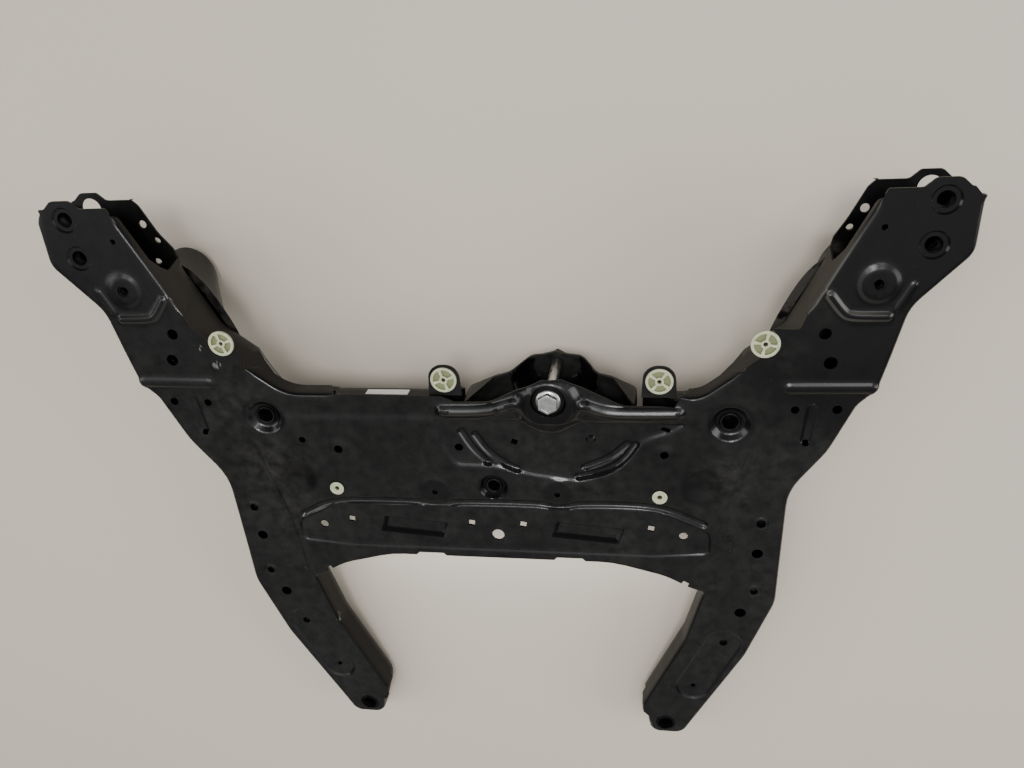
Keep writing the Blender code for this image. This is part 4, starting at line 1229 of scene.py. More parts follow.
def notch(a: Spot, b: Spot, share: float, width: float, depth: float) -> list[Rim]:
    """Corners of a small square notch in the edge from a to b, cut to the left of its direction.

    Args:
        a: the edge's start.
        b: the edge's end.
        share: where the notch lies between them.
        width: its size along the edge.
        depth: how far it is cut in.

    Returns:
        The corners.
    """
    start, end = np.array(a), np.array(b)
    run = (end - start) / np.hypot(*(end - start))
    into = np.array([-run[1], run[0]])
    middle = start + (end - start) * share
    half = run * width / 2
    spots = [middle - half, middle - half + into * depth, middle + half + into * depth, middle + half]
    return [Rim(float(x), float(y), 0.0, 0.0) for x, y in spots]


def front(x: float, back: float) -> Spot:
    """Point on the cross beam, measured back from its front edge."""
    return x, FRONT_EDGE_Y - back


def rear(x: float, ahead: float) -> Spot:
    """Point on the cross beam, measured ahead of its rear edge."""
    return x, REAR_EDGE_Y + ahead


def band_rounds() -> list[tuple[Spot, float]]:
    """Centre and radius of the round holes of the rear band."""
    return [((0.0, 0.0), 7.6), (rear(224.0, 41.0), 5.2), (rear(-224.0, 41.0), 5.2)]


def band_squares() -> list[tuple[Spot, float]]:
    """Centre and width of the square holes of the rear band."""
    return [(rear(x, 50.5), 8.5) for x in (-186.0, -32.0, 32.0, 186.0)]


def seen_through(spot: Spot) -> Spot:
    """Where the upper shell's hole lies behind a hole of the rear band, as seen from the camera."""
    return spot[0] + (spot[0] - EYE_X) / EYE_HEIGHT * BAND_GAP, spot[1] - BAND_SHIFT


def pad(centre: float, half_width: float, half_length: float, radius: float, depth: float) -> Field:
    """One of the sunk pads of the rear band.

    Args:
        centre: where its middle lies across the car.
        half_width: half its size across the car.
        half_length: half its size along the car.
        radius: radius of its corners.
        depth: how far it is sunk.

    Returns:
        The pad.
    """
    corners = tuple((centre + a * half_width, PAD_MIDDLE_Y + b * half_length, radius) for a, b in CORNERS)
    return Field(corners, PAD_WALL, -depth)


def symmetric(half: Sequence[tuple[float, float, float]]) -> tuple[tuple[float, float, float], ...]:
    """Corners of a field on the right side, and then the same corners on the left side."""
    return (*half, *((-x, y, radius) for x, y, radius in reversed(half)))


def paired(rows: Sequence[tuple]) -> list[Form]:
    """Beads and dimples on both sides of the part.

    Args:
        rows: floor, wall and height of each, and then the points of its path on the right side.

    Returns:
        The forms.
    """
    return [Bead(path, floor, wall, rise) for floor, wall, rise, *spots in rows for path in both(*spots)]


@dataclass
class Shells:
    """The lower and the upper pressed shell, which are welded together into one box."""

    finish: bpy.types.Material
    wall: float = LOWER_WALL
    overlap: float = 8.0
    nest: float = 3.0
    back_draft: float = 3.0
    front_draft: float = 22.0

    def side(self, lower: bool) -> list[Rim]:
        """Corners of the right side, from the rear edge round the leg and the arm to the front edge.

        Args:
            lower: whether the outline is the lower shell's.

        Returns:
            The corners, anticlockwise.
        """
        wall = self.wall
        inner_corner, lip = leg(0.253, -27.2), rear(205.0, -18.0)
        fine = 1.0 if lower else 0.0
        corners: list[Rim] = []
        if lower:
            corners += [Rim(*rear(x, y), 0.0, 0.0) for x, y in ((68, 0), (72, 4), (103, 4), (107, 0))]
        corners += [Rim(*rear(140.0, 0.0), 120.0, 0.0), Rim(*lip, 140.0, 0.0)]
        if lower:
            corners += notch(lip, inner_corner, 0.5, 9.0, 5.0)
        corners += [Rim(*leg(0.233, -36.0), 0.0, 0.0)]
        corners += [Rim(*inner_corner, 6.0, 1.0, wall), Rim(*leg(0.52, -24.2), 60.0, 1.0, wall)]
        corners += [Rim(*leg(0.903, -40.7), 6.0), Rim(*leg(0.942, -35.2), 0.0, 1 - fine, 0.0)]
        corners += [Rim(*leg(0.964, -26.2), 0.0, 1 - fine, 0.0)]
        corners += [Rim(FOOT[0] - 21, FOOT[1] - FOOT_TIP, 15.0), Rim(FOOT[0] + 23, FOOT[1] - FOOT_TIP, 18.0)]
        corners += [Rim(*leg(0.578, 59.0), 80.0), Rim(*leg(0.286, 62.7), 60.0), Rim(*leg(-0.253, 15.2), 70.0)]
        corners += [Rim(*arm(-0.366, 52.4), 80.0), Rim(*arm(-0.074, 48.0), 25.0), Rim(*arm(0.02, 57.1), 15.0)]
        corners += [Rim(*arm(0.47, 33.8), 45.0), Rim(*arm(0.743, 58.2), 22.0)]
        corners += [Rim(*arm(0.926, 41.1), 0.0), Rim(*arm(0.985, 35.8), 0.0)]
        x, end, tip = FRONT_BORE[0], FRONT_BORE[1] + 12.0, FRONT_BORE[1] + FRONT_TIP
        corners += [Rim(x + 35, end, 4.0, 0.0), Rim(x + 21, end, 6.0, 0.0), Rim(x + 11, tip, 9.0, 0.0)]
        corners += [Rim(x - 11, tip, 9.0, 0.0), Rim(x - 21, end, 6.0, 0.0), Rim(x - 52, end, 3.0, 0.0)]
        wide = 0.0 if lower else MOUTH_OVERHANG
        corners += [Rim(*arm(1.02, -57.5 - wide), 0.0, 0.0)]
        corners += [Rim(*arm(0.98, -57.8 - wide), 0.0, fine, MOUTH_WALL)]
        corners += [Rim(*arm(0.76, -59.4 - wide), 0.0, fine, MOUTH_WALL)]
        corners += [Rim(*arm(0.70, -59.8), 0.0, fine, MOUTH_END_WALL)]
        corners += [Rim(*arm(0.66, -60.0), 0.0, 1.0, ARM_WALL)]
        x, y = OUTER_CLIP
        if lower:
            corners += [Rim(*arm(0.50, -60.6), 0.0, 1.0, ARM_WALL), Rim(*arm(0.44, -60.8), 0.0, 0.0)]
            corners += [Rim(x + 33, y + 15, 4.0, 0.0), Rim(x - EAR, y + EAR, EAR - 1, 0.0)]
            corners += [Rim(x - EAR, y - 31, 6.0, 0.0), Rim(x - 30, y - 39.5, 0.0, 1.0, wall)]
        else:
            corners += [Rim(*arm(0.56, -60.4), 0.0, 1.0, ARM_WALL), Rim(*arm(0.50, -60.6), 0.0, 1.0, 0.0)]
            corners += [Rim(*arm(0.30, -62.0), 16.0, 1.0, 0.0), Rim(x - 15, y - 28.0, 0.0, 1.0, 0.0)]
            corners += [Rim(x - 28, y - 38.0, 0.0, 1.0, wall, 12.0)]
        draft = 0.0 if lower else self.front_draft
        return corners + [Rim(*front(236.0, 0.0), 50.0, 1.0, wall, draft)]

    def lower_outline(self) -> list[Rim]:
        """Outline of the lower shell.

        Returns:
            The outline, anticlockwise.
        """
        right = self.side(True)
        x, y = TORQUE_BOLT
        nose = [Rim(*front(214, 0), 0.0, 0.0), Rim(*front(209, 11), 0.0, 0.0),
                Rim(*front(152, 11), 25.0, 0.0), Rim(x + 15, y + 25, 8.0, 0.0), Rim(x - 7, y + 25, 8.0, 0.0),
                Rim(*front(6, 8), 40.0, 0.0), Rim(*front(-36, 9), 0.0, 0.0), Rim(*front(-50, 1), 6.0, 0.0),
                Rim(*front(-176, 0), 0.0, 0.0), Rim(*front(-186, 0), 0.0, 1.0)]
        return evenly(rounded(right + nose + mirrored(right)[::-1]), 5.0)

    def upper_outline(self) -> list[Rim]:
        """Outline of the upper shell, nested inside the lower one, with a cut-out for the torque pocket.

        Returns:
            The outline, anticlockwise.
        """
        right = self.side(False)
        left_x, right_x = TorquePocket.left - 0.5, TorquePocket.right + 0.5
        cut, nest, draft = 46.0, self.nest, self.front_draft
        nose = [Rim(*front(214, 0), 0.0, 1.0, 0.0, draft), Rim(*front(right_x + 30, 0), 0.0, 1.0, 0.0, draft),
                Rim(*front(right_x + nest, 20), 0.0, 0.0), Rim(*front(right_x + nest, cut), 0.0, 0.0),
                Rim(*front(left_x - nest, cut), 0.0, 0.0), Rim(*front(left_x - nest, 20), 0.0, 0.0),
                Rim(*front(left_x - 26, 0), 0.0, 1.0, 0.0, draft), Rim(*front(-172, 0), 0.0, 1.0, 0.0, draft),
                Rim(*front(-180, 0), 0.0, 1.0, self.wall, draft)]
        corners = []
        for corner in right + nose + mirrored(right)[::-1]:
            at_foot = corner.y < FOOT[1] - 10
            corners.append(replace(corner, draft=0.0 if at_foot else max(corner.draft, self.back_draft)))
        return inset(evenly(rounded(corners), 7.0), nest)

    def lower(self) -> PressedSheet:
        """The lower shell, whose outer skin is the underside of the car.

        Returns:
            The sheet.
        """
        levels = ((FOOT[1], -9.0), (REAR_EDGE_Y - 6, 0.0), (REAR_EDGE_Y + 79, 4.0), (FRONT_EDGE_Y - 15, 13.0),
                  (ARM_ROOT[1] + 40, 16.0))
        return PressedSheet("fine_lower_shell", self.lower_outline(), levels, self.lower_forms(),
                            self.lower_holes(), Skin.UNDERSIDE)

    def upper(self, lower: PressedSheet) -> PressedSheet:
        """The upper shell, which closes the box towards the car's body.

        Args:
            lower: the lower shell, which its wall meets.

        Returns:
            The sheet.
        """
        levels = ((FOOT[1] + 40, BACK_LEG_Z), (REAR_EDGE_Y - 40, BACK_BEAM_Z),
                  (ARM_ROOT[1] + 136, BACK_BEAM_Z), (ARM_ROOT[1] + 172, BACK_ARM_Z))

        def wall_end(outer: np.ndarray, wall: np.ndarray) -> np.ndarray:
            """Level of the wall's edge, inside the lower wall or just below the lower face."""
            face = lower.base(outer)
            return np.minimum(face - wall + self.overlap, face - SHEET - 1.2)

        return PressedSheet("fine_upper_shell", self.upper_outline(), levels, self.upper_forms(),
                            self.upper_holes(), Skin.BACK, grid=8.0, spacing=5.0, level_blur=5.0,
                            wall_end=wall_end)

    def lower_forms(self) -> list[Form]:
        """Beads, dimples and fields pressed into the lower shell.

        Returns:
            The forms, which the sheet adds up.
        """
        half = ((190, -25, 60), (257, -18, 10), (257, 14, 10), (242, 22, 20), (200, 43, 40))
        slope = (BAND_REAR_STEP - BAND_FRONT_STEP) / (half[-1][1] - half[0][1])
        forms: list[Form] = [Field(symmetric(half), 4.0, -BAND_REAR_STEP, slope)]
        forms += paired((
            (14.0, 10.0, -8.0, RAIL_BORE),
            (12.5, 1.8, -1.8, FRONT_BORE),
            (12.5, 1.8, -1.8, SECOND_BORE),
            (14.0, 9.0, 3.4, ARM_BOSS),
            (7.0, 2.5, 1.4, LEG_NUT_FRONT),
            (7.0, 2.5, 1.4, LEG_NUT_MIDDLE),
            (19.0, 5.0, -3.0, LEG_NUT_REAR, leg(0.77, 13.3)),
            (2.0, 6.0, 2.8, arm(0.03, -32.8), arm(0.035, 48.0)),
            (1.2, 5.2, 3.0, arm(0.54, -49.8), arm(0.455, -28.8), arm(0.43, -18.4), arm(0.43, 16.6)),
            (0.8, 4.0, 1.8, arm(0.594, 21.2), arm(0.47, 20.8)),
            (2.0, 5.0, -2.8, arm(-0.089, 4.4), arm(-0.287, 20.0)),
            (2.0, 23.0, -5.5, front(242.0, 118.0)),
            (0.8, 4.2, -1.5, front(292.0, 72.0), front(281.0, 121.0), front(268.0, 172.0),
             rear(261.0, -28.0)),
        ))
        forms.append(Bead((front(-233.0, 23.0), front(-66.0, 21.5)), 4.0, 8.0, -2.0))
        for spot, floor, wall, rise in (((-183, 125), 6, 9, 2.6), ((199, 126), 6, 9, 2.6),
                                        (CROSS_NUTS["left"], 17, 5, 1.2), (CROSS_NUTS["right"], 17, 5, 1.2),
                                        ((117, 143), 3.2, 2.6, 3.0), (CENTRE_BORE, 13.0, 4.5, -6.0)):
            forms.append(Bead((spot,), floor, wall, rise))
        return forms + self.band_forms() + self.torque_forms()

    def band_forms(self) -> list[Form]:
        """The groove ahead of the rear band, and its two sunk pads.

        Returns:
            The forms.
        """
        run = ((-246, 25), (-224, 38), (-200, 47), (-150, 49), (-98, 49), (-86, 46), (-58, 46), (-46, 50),
               (52, 51), (64, 48), (90, 48), (102, 52), (174, 53), (208, 47), (246, 28))
        return [Bead(run, 1.8, 4.4, -3.4), *(pad(centre, 44.5, 15, 7, PAD_DEPTH) for centre in PAD_CENTRES)]

    def torque_forms(self) -> list[Form]:
        """Sunk field, cone, ribs and curved grooves round the torque-rod bolt.

        Returns:
            The forms.
        """
        x, y = TORQUE_BOLT
        field = ((-61, 134, 40), (-46, 101, 20), (0, 101, 40), (50, 89, 60), (106, 81, 40), (147, 97, 30),
                 (176, 140, 40), (206, 151, 20), (222, 161, 3), (222, 172, 3), (-62, 172, 3))
        forms: list[Form] = [Field(field, 7.0, -3.2), Bead(((x, y - 7),), 23.0, 20.0, 11.0),
                             Bead(((x, y),), 17.5, 2.5, -4.0)]
        ribs = (((-50, 20), (-15, 20), (10, 17), (31, 9)), ((112, 11), (135, 20), (175, 20), (212, 19)))
        forms += [Bead(tuple(front(*spot) for spot in rib), 1.0, 9.5, 6.5) for rib in ribs]
        grooves = (((-32, 150), (-20, 125), (-4, 108)), ((-16, 146), (-4, 124), (14, 108), (30, 99)),
                   ((110, 104), (138, 117), (158, 137)), ((102, 91), (130, 98), (153, 113), (167, 136)))
        return forms + [Bead(groove, 1.8, 4.0, -3.2) for groove in grooves]

    def lower_holes(self) -> list[np.ndarray]:
        """Holes pierced in the lower shell.

        Returns:
            Their outlines.
        """
        pairs = [(FRONT_BORE, 8.5), (SECOND_BORE, 8.5), (arm(0.876, -39.2), 3.2), (ARM_BOSS, 6.6),
                 (arm(0.337, -31.6), 6.4), (arm(0.178, -8.4), 6.9), (arm(-0.094, 29.9), 5.0),
                 (arm(-0.099, -12.2), 4.5), (arm(-0.307, 22.0), 3.6), (RAIL_BORE, 11.7),
                 (OUTER_CLIP, CLIP_BORE), (SMALL_CLIP, 4.3), (LEG_NUT_FRONT, 5.3), (leg(0.039, 13.5), 6.5),
                 (LEG_NUT_MIDDLE, 4.6), (leg(0.341, 26.7), 6.8), (LEG_NUT_REAR, 5.0), (leg(0.77, 13.3), 3.0),
                 (FOOT, 12.8)]
        loops = [circle((sign * x, y), radius, 40) for (x, y), radius in pairs for sign in (1, -1)]
        single = [((-227, 136), 4.0), ((-183, 125), 5.3), ((199, 126), 4.8), ((-37, 128), 5.0),
                  (CENTRE_BORE, 10.7), (CROSS_NUTS["left"], 3.4), (CROSS_NUTS["right"], 3.4),
                  (TORQUE_BOLT, THREADED_BORE), *band_rounds()]
        loops += [circle(spot, radius, 40) for spot, radius in single]
        loops += [window(spot, width, width) for spot, width in band_squares()]
        return loops + [window((200, 157), 12.0, 6.5, 3.0), window((29, 137), 9.0, 9.0, 2.5)]

    def upper_forms(self) -> list[Form]:
        """Flange behind the rear band, and stiffening beads of the upper shell.

        Returns:
            The forms, which the sheet adds up.
        """
        half = ((200, -110, 10), (258, -76, 8), (266, -30, 20), (266, 20, 15), (246, 34, 20), (203, 56, 40))
        seat = BAND_FLOOR_Z - SHEET - SEAT_GAP - SHEET
        forms: list[Form] = [Field(symmetric(half), 17.0, seat - BACK_BEAM_Z)]
        forms += [pad(centre, 48.0, 19, 8, PAD_DEPTH + 2.0) for centre in PAD_CENTRES]
        for start in (-190.0, 60.0):
            forms.append(Bead(((start, 110.0), (start + 130.0, 110.0)), 8.0, 7.0, -5.0))
        return forms + paired(((5.0, 6.0, -4.0, leg(0.12, 8.0), leg(0.5, 14.0)),))

    def upper_holes(self) -> list[np.ndarray]:
        """Holes pierced in the upper shell.

        Returns:
            Their outlines.
        """
        pairs = [(FRONT_BORE, 12.0), (arm(0.906, -49.2), 4.6), (arm(0.81, -52.0), 3.6),
                 (arm(0.673, -28.3), 4.2), (RAIL_BORE, 8.0), (FOOT, 8.5), ((150.0, 70.0), 17.0),
                 (leg(0.3, 22.0), 12.0), (leg(0.65, 14.0), 7.0)]
        loops = [circle((sign * x, y), radius, 36) for (x, y), radius in pairs for sign in (1, -1)]
        loops += [window(seen_through(spot), width + 8, width + 8) for spot, width in band_squares()]
        loops += [circle(seen_through(spot), radius + 4, 32) for spot, radius in band_rounds()]
        return loops + [circle(CENTRE_BORE, 7.0)]

    def build(self) -> None:
        """Make both shells."""
        lower = self.lower()
        upper = self.upper(lower)
        Stage.adopt(lower.build(), "black_coat", "lower_shell", self.finish)
        Stage.adopt(upper.build(), "black_coat", "upper_shell", self.finish)


@dataclass
class TorquePocket:
    """The pocket that forms the far jaw for the torque rod."""

    finish: bpy.types.Material
    left: float = TORQUE_BOLT[0] - 102.0
    right: float = TORQUE_BOLT[0] + 96.0
    tall: float = 48.0
    low: float = 9.0
    sheet: float = 3.0

    def outline(self) -> list[Rim]:
        """Outline: a plain rear edge, two tall side walls and a low front lip.

        Returns:
            The outline, anticlockwise.
        """
        x, y = TORQUE_BOLT
        tall, low = self.tall, self.low
        corners = [Rim(self.left, y - 69, 0.0, 0.0), Rim(self.right, y - 69, 0.0, 0.0),
                   Rim(self.right, y - 56, 0.0, 0.0), Rim(self.right, y - 46, 0.0, 1.0, tall),
                   Rim(self.right, y - 13, 8.0, 1.0, tall), Rim(x + 68, y + 1, 12.0, 1.0, low),
                   Rim(x + 40, y + 9, 14.0, 1.0, low), Rim(x + 14, y + 12, 10.0, 1.0, low),
                   Rim(x, y + 16, 14.0, 1.0, low), Rim(x - 16, y + 12, 10.0, 1.0, low),
                   Rim(x - 44, y + 9, 14.0, 1.0, low), Rim(x - 70, y + 1, 12.0, 1.0, low),
                   Rim(self.left, y - 13, 8.0, 1.0, tall), Rim(self.left, y - 46, 0.0, 1.0, tall),
                   Rim(self.left, y - 56, 0.0, 0.0)]
        return evenly(rounded(corners), 4.0)

    def build(self) -> None:
        """Make the pocket."""
        seat = BACK_BEAM_Z + SHEET + SEAT_GAP
        x, y = TORQUE_BOLT
        cone = Bead(((x - 14, y - 5), (x + 14, y - 5)), 16.0, 22.0, -POCKET_DEPTH)
        sheet = PressedSheet("fine_torque_pocket", self.outline(), ((0.0, seat),), [cone],
                             [circle(TORQUE_BOLT, THREADED_BORE)], Skin.BACK, thickness=self.sheet,
                             wall_rows=4)
        Stage.adopt(sheet.build(), "black_coat", "torque_pocket", self.finish)


@dataclass
class Towers:
    """Deep-drawn body-mount towers on the back of the arms."""

    finish: bpy.types.Material
    long_half: float = 74.0
    wide_half: float = 41.0
    top_radius: float = 34.0
    flange: float = 7.0
    flange_share: float = 0.025
    wall: float = 3.0
    hole: float = 7.5
    sides: int = 72
    levels: int = 30

    def ring(self, share: float, shrink: float) -> list[tuple[float, float, float]]:
        """Ring of the right tower.

        Args:
            share: 0 at its base and 1 at its top.
            shrink: distance inside the outer skin.

        Returns:
            The ring's points.
        """
        cos_arm, sin_arm = math.cos(ARM_SLOPE), math.sin(ARM_SLOPE)
        ease = share ** 0.8
        x, y = (low + (high - low) * ease for low, high in zip(arm(0.27, -14.0), TOWER_TOP))
        crown = 8.0 * max(0.0, (share - 0.9) / 0.1) ** 2
        long_reach = self.long_half + (self.top_radius - self.long_half) * ease - crown - shrink
        wide_reach = self.wide_half + (self.top_radius - self.wide_half) * ease - crown - shrink
        seat = BACK_BEAM_Z - SEAT_GAP
        power = 0.75 + 0.25 * ease
        points = []
        for k in range(self.sides):
            c, s = math.cos(2 * math.pi * k / self.sides), math.sin(2 * math.pi * k / self.sides)
            along = math.copysign(abs(c) ** power, c) * long_reach
            across = math.copysign(abs(s) ** power, s) * wide_reach
            points.append((x + along * cos_arm - across * sin_arm, y + along * sin_arm + across * cos_arm,
                           seat + (TOWER_TOP_Z - seat) * share))
        return points

    def build(self) -> None:
        """Make both towers."""
        start = self.flange_share
        shares = [start + (0.9 - start) * k / self.levels for k in range(2, self.levels + 1)]
        shares += [0.92, 0.94, 0.96, 0.98, 0.99, 1.0]
        bend = ((1.0, 1.0), (0.55, 1.1), (0.2, 1.5), (0.05, 2.1))
        outer = [self.ring(0.0, -self.flange)]
        outer += [self.ring(start * high, -self.flange * out) for out, high in bend]
        outer += [self.ring(share, 0.0) for share in shares]
        inner = [self.ring(share, self.wall) for share in [0.0, *shares[:-2]]]
        lid = [(x, y, TOWER_TOP_Z + self.wall) for x, y, _ in self.ring(1.0, self.wall)]
        turns = [ARM_SLOPE + 2 * math.pi * k / self.sides for k in range(self.sides)]
        middle_x, middle_y = TOWER_TOP
        rim = [(middle_x + self.hole * math.cos(a), middle_y + self.hole * math.sin(a)) for a in turns]
        hole = [[(x, y, z) for x, y in rim] for z in (TOWER_TOP_Z, TOWER_TOP_Z + self.wall)]
        rings = [*outer, *hole, lid, *reversed(inner)]
        for label, sign in SIDES:
            points = [(sign * x, y, z) for ring in rings for x, y, z in ring]
            faces = []
            for level in range(len(rings)):
                low, high = level * self.sides, ((level + 1) % len(rings)) * self.sides
                for k in range(self.sides):
                    n = (k + 1) % self.sides
                    face = (low + k, high + k, high + n, low + n)
                    faces.append(face if sign > 0 else face[::-1])
            thing = Bench.cut(f"fine_tower_{label}", np.array(points), faces)
            Bench.smooth(thing, 40.0)
            Stage.adopt(thing, "black_coat", f"tower_{label}", self.finish)


# Turned pieces

@dataclass
class Sleeves:
    """Steel sleeves through the box section."""

    finish: bpy.types.Material

    def tube(self, name: str, centre: Spot, outer: float, inner: float) -> None:
        """Make one sleeve with rounded ends, as long as its node.

        Args:
            name: the node that it replaces.
            centre: its axis.
            outer: its outer radius.
            inner: the radius of its bore.
        """
        top, bottom = Stage.span(name)
        profile = [(outer - 0.9, top), (outer - 0.25, top - 0.3), (outer, top - 0.9), (outer, bottom + 0.9),
                   (outer - 0.9, bottom), (inner + 0.6, bottom), (inner, bottom + 0.6), (inner, top - 1.2),
                   (inner + 0.35, top - 0.35), (inner + 1.0, top), (outer - 0.9, top)]
        thing = Bench.turned(f"fine_{name}", centre, profile, 56)
        Stage.adopt(thing, "bare_steel", name, self.finish)

    def build(self) -> None:
        """Make all sleeves."""
        for label, sign in SIDES:
            self.tube(f"rail_sleeve_{label}", (sign * RAIL_BORE[0], RAIL_BORE[1]), 11.0, 8.6)
            self.tube(f"foot_sleeve_{label}", (sign * FOOT[0], FOOT[1]), 12.1, 9.5)
        self.tube("centre_sleeve", CENTRE_BORE, 10.0, 7.0)


@dataclass
class WeldNuts:
    """Threaded collars and nuts behind the pierced holes."""

    finish: bpy.types.Material
    pitch: float = 1.5
    depth: float = 0.75

    def threaded(self, name: str, centre: Spot, outer: float, bore: float) -> None:
        """Make one threaded ring as tall as its node.

        Args:
            name: the node that it replaces.
            centre: its axis.
            outer: its outer radius.
            bore: the radius of its thread's crests.
        """
        top, bottom = Stage.span(name)
        profile = [(outer - 0.8, top), (outer, top - 0.8), (outer, bottom + 0.8), (outer - 0.8, bottom),
                   (bore + self.depth, bottom)]
        turns = int((top - bottom - 1.0) / self.pitch)
        for turn in range(turns):
            level = bottom + 0.5 + turn * self.pitch
            profile += [(bore + self.depth, level), (bore, level + self.pitch * 0.5)]
        profile += [(bore + self.depth, top), (outer - 0.8, top)]
        thing = Bench.turned(f"fine_{name}", centre, profile, 36)
        Stage.adopt(thing, "bare_steel", name, self.finish)

    def build(self) -> None:
        """Make all collars and nuts."""
        spots = {"front_collar": (FRONT_BORE, 12.0, 7.0), "second_collar": (SECOND_BORE, 12.0, 7.0),
                 "arm_nut": (ARM_BOSS, 8.4, 4.1), "leg_nut_front": (LEG_NUT_FRONT, 8.4, 4.1),
                 "leg_nut_middle": (LEG_NUT_MIDDLE, 8.4, 4.1), "leg_nut_rear": (LEG_NUT_REAR, 8.4, 4.1)}
        for label, sign in SIDES:
            for name, ((x, y), outer, bore) in spots.items():
                self.threaded(f"{name}_{label}", (sign * x, y), outer, bore)
        for label, spot in CROSS_NUTS.items():
            self.threaded(f"cross_nut_{label}", spot, 6.4, 3.0)


@dataclass
class TorqueBolt:
    """The flanged bolt of the torque rod."""

    finish: bpy.types.Material
    flats: float = 10.5
    shank: float = 6.0
    flange: float = 14.1
    head: float = 9.0
    flange_rise: float = 2.8
    thread: float = 16.0
    tip: float = 3.5
    pitch: float = 1.5

    def build(self) -> None:
        """Model the shank and flange on a lathe, and the hexagon head from a cylinder."""
        top, bottom = Stage.span("torque_bolt")
        seat = top - self.head
        profile = [(self.flats - 1.0, seat + 3.2), (self.flats + 1.6, seat + 2.6),
                   (self.flange - 0.4, seat + 1.5), (self.flange, seat + 1.0), (self.flange - 0.3, seat),
                   (self.shank, seat)]
        level = bottom + self.thread
        profile += [(self.shank, level), (self.shank - 0.1, level - 0.4)]
        while level > bottom + self.tip:
            level -= self.pitch
            profile += [(self.shank - 0.85, level + 0.7), (self.shank - 0.1, level)]
        profile += [(self.shank - 1.5, bottom)]
        thing = Bench.turned("fine_torque_bolt", TORQUE_BOLT, profile, 48)
        head_seat = seat + self.flange_rise
        place = Vector(Stage.place(np.array([[*TORQUE_BOLT, (head_seat + top) / 2]]))[0])
        depth = (top - head_seat) * MM
        radius = self.flats / math.cos(math.pi / 6) * MM
        bpy.ops.object.select_all(action="DESELECT")
        bpy.ops.mesh.primitive_cylinder_add(vertices=6, radius=radius, depth=depth, location=place)
        head = bpy.context.object
        Bench.settle(head)
        edges = head.modifiers.new("edges", "BEVEL")
        edges.width = 0.7 * MM
        edges.segments = 3
        Bench.apply(head)
        bpy.ops.object.mode_set(mode="EDIT")
        bpy.ops.mesh.select_all(action="DESELECT")
        shape = bmesh.from_edit_mesh(head.data)
        for face in shape.faces:
            face.select = face.normal.z > 0.99 and face.calc_area() > (self.flats * MM) ** 2
        bmesh.update_edit_mesh(head.data)
        bpy.ops.mesh.inset(thickness=1.6 * MM)
        bpy.ops.mesh.extrude_region_move(TRANSFORM_OT_translate={"value": (0.0, 0.0, -0.8 * MM)})
        bpy.ops.object.mode_set(mode="OBJECT")
        Bench.smooth(head, 30.0)
        Stage.adopt(head, "zinc_plate", "torque_bolt", self.finish)
        Stage.adopt(thing, "zinc_plate", "torque_bolt", self.finish)


# Plastic and paper pieces

def adopt_clip(thing: bpy.types.Object, name: str) -> None:
    """Give a clip nylon of its own, with painted shade below the top of its node."""
    nylon = Nylon(f"natural_plastic_{name}", rim=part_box(name)[1][2]).material()
    Stage.adopt(thing, "natural_plastic", name, nylon)


@dataclass
class BigClip:
    """A push clip with a raised rim, four spokes and a boss with a bore."""

    radius: float = 15.0
    rim: float = 2.6
    boss: float = 4.4
    spoke: float = 2.1
    floor: float = 3.0
    sides: int = 96

    def build(self, name: str, centre: Spot, turn: float) -> None:
        """Model one clip.

        Args:
            name: the node that it replaces.
            centre: its axis.
            turn: the angle of its first spoke.
        """
        top, bottom = Stage.span(name)
        r = self.radius
        boss, inner = self.boss, r - self.rim
        profile = [(2.4, top - 6.0), (2.4, top - 0.6), (2.8, top - 0.1), (3.3, top), (boss - 0.4, top),
                   (boss, top - 0.4), (boss + 0.3, top - 0.5), (inner - 0.3, top - 0.5), (inner, top - 0.4),
                   (inner + 0.5, top), (r - 1.0, top), (r - 0.3, top - 0.35), (r, top - 1.1),
                   (r - 0.5, top - 3.8), (4.6, top - 3.8), (4.6, top - 8.0), (2.8, bottom)]
        thing = Bench.turned(f"fine_{name}", centre, profile, self.sides)
        middle = Stage.place(np.array([[centre[0], centre[1], top - 0.5]]))[0]
        bpy.ops.object.mode_set(mode="EDIT")
        bpy.ops.mesh.select_all(action="DESELECT")
        shape = bmesh.from_edit_mesh(thing.data)
        for face in shape.faces:
            place = face.calc_center_median()
            away = math.hypot(place.x - middle[0], place.y - middle[1])
            angle = math.atan2(place.y - middle[1], place.x - middle[0]) - turn
            offset = (angle + math.pi / 4) % (math.pi / 2) - math.pi / 4
            level = abs(place.z - middle[2]) < 0.05 * MM and face.normal.z > 0.9
            clear = abs(math.sin(offset)) * away > self.spoke * 0.5 * MM
            face.select = bool(level and clear and boss * MM < away < inner * MM)
        bmesh.update_edit_mesh(thing.data)
        bpy.ops.mesh.inset(thickness=0.35 * MM)
        bpy.ops.mesh.extrude_region_move(TRANSFORM_OT_translate={"value": (0.0, 0.0, -self.floor * MM)})
        bpy.ops.object.mode_set(mode="OBJECT")
        Bench.smooth(thing, 35.0)
        adopt_clip(thing, name)


@dataclass
class SmallClip:
    """A small round plug with a dished head."""

    radius: float = 8.8

    def build(self, name: str, centre: Spot) -> None:
        """Model one plug.

        Args:
            name: the node that it replaces.
            centre: its axis.
        """
        top, bottom = Stage.span(name)
        r = self.radius
        profile = [(2.9, top - 6.0), (2.9, top - 1.4), (3.2, top - 0.9), (4.2, top - 0.9), (5.4, top - 0.9),
                   (5.9, top - 0.2), (6.6, top), (r - 0.9, top - 0.05), (r - 0.2, top - 0.5), (r, top - 1.1),
                   (r - 0.5, top - 2.4), (3.6, top - 2.4), (2.4, bottom)]
        thing = Bench.turned(f"fine_{name}", centre, profile, 48)
        adopt_clip(thing, name)


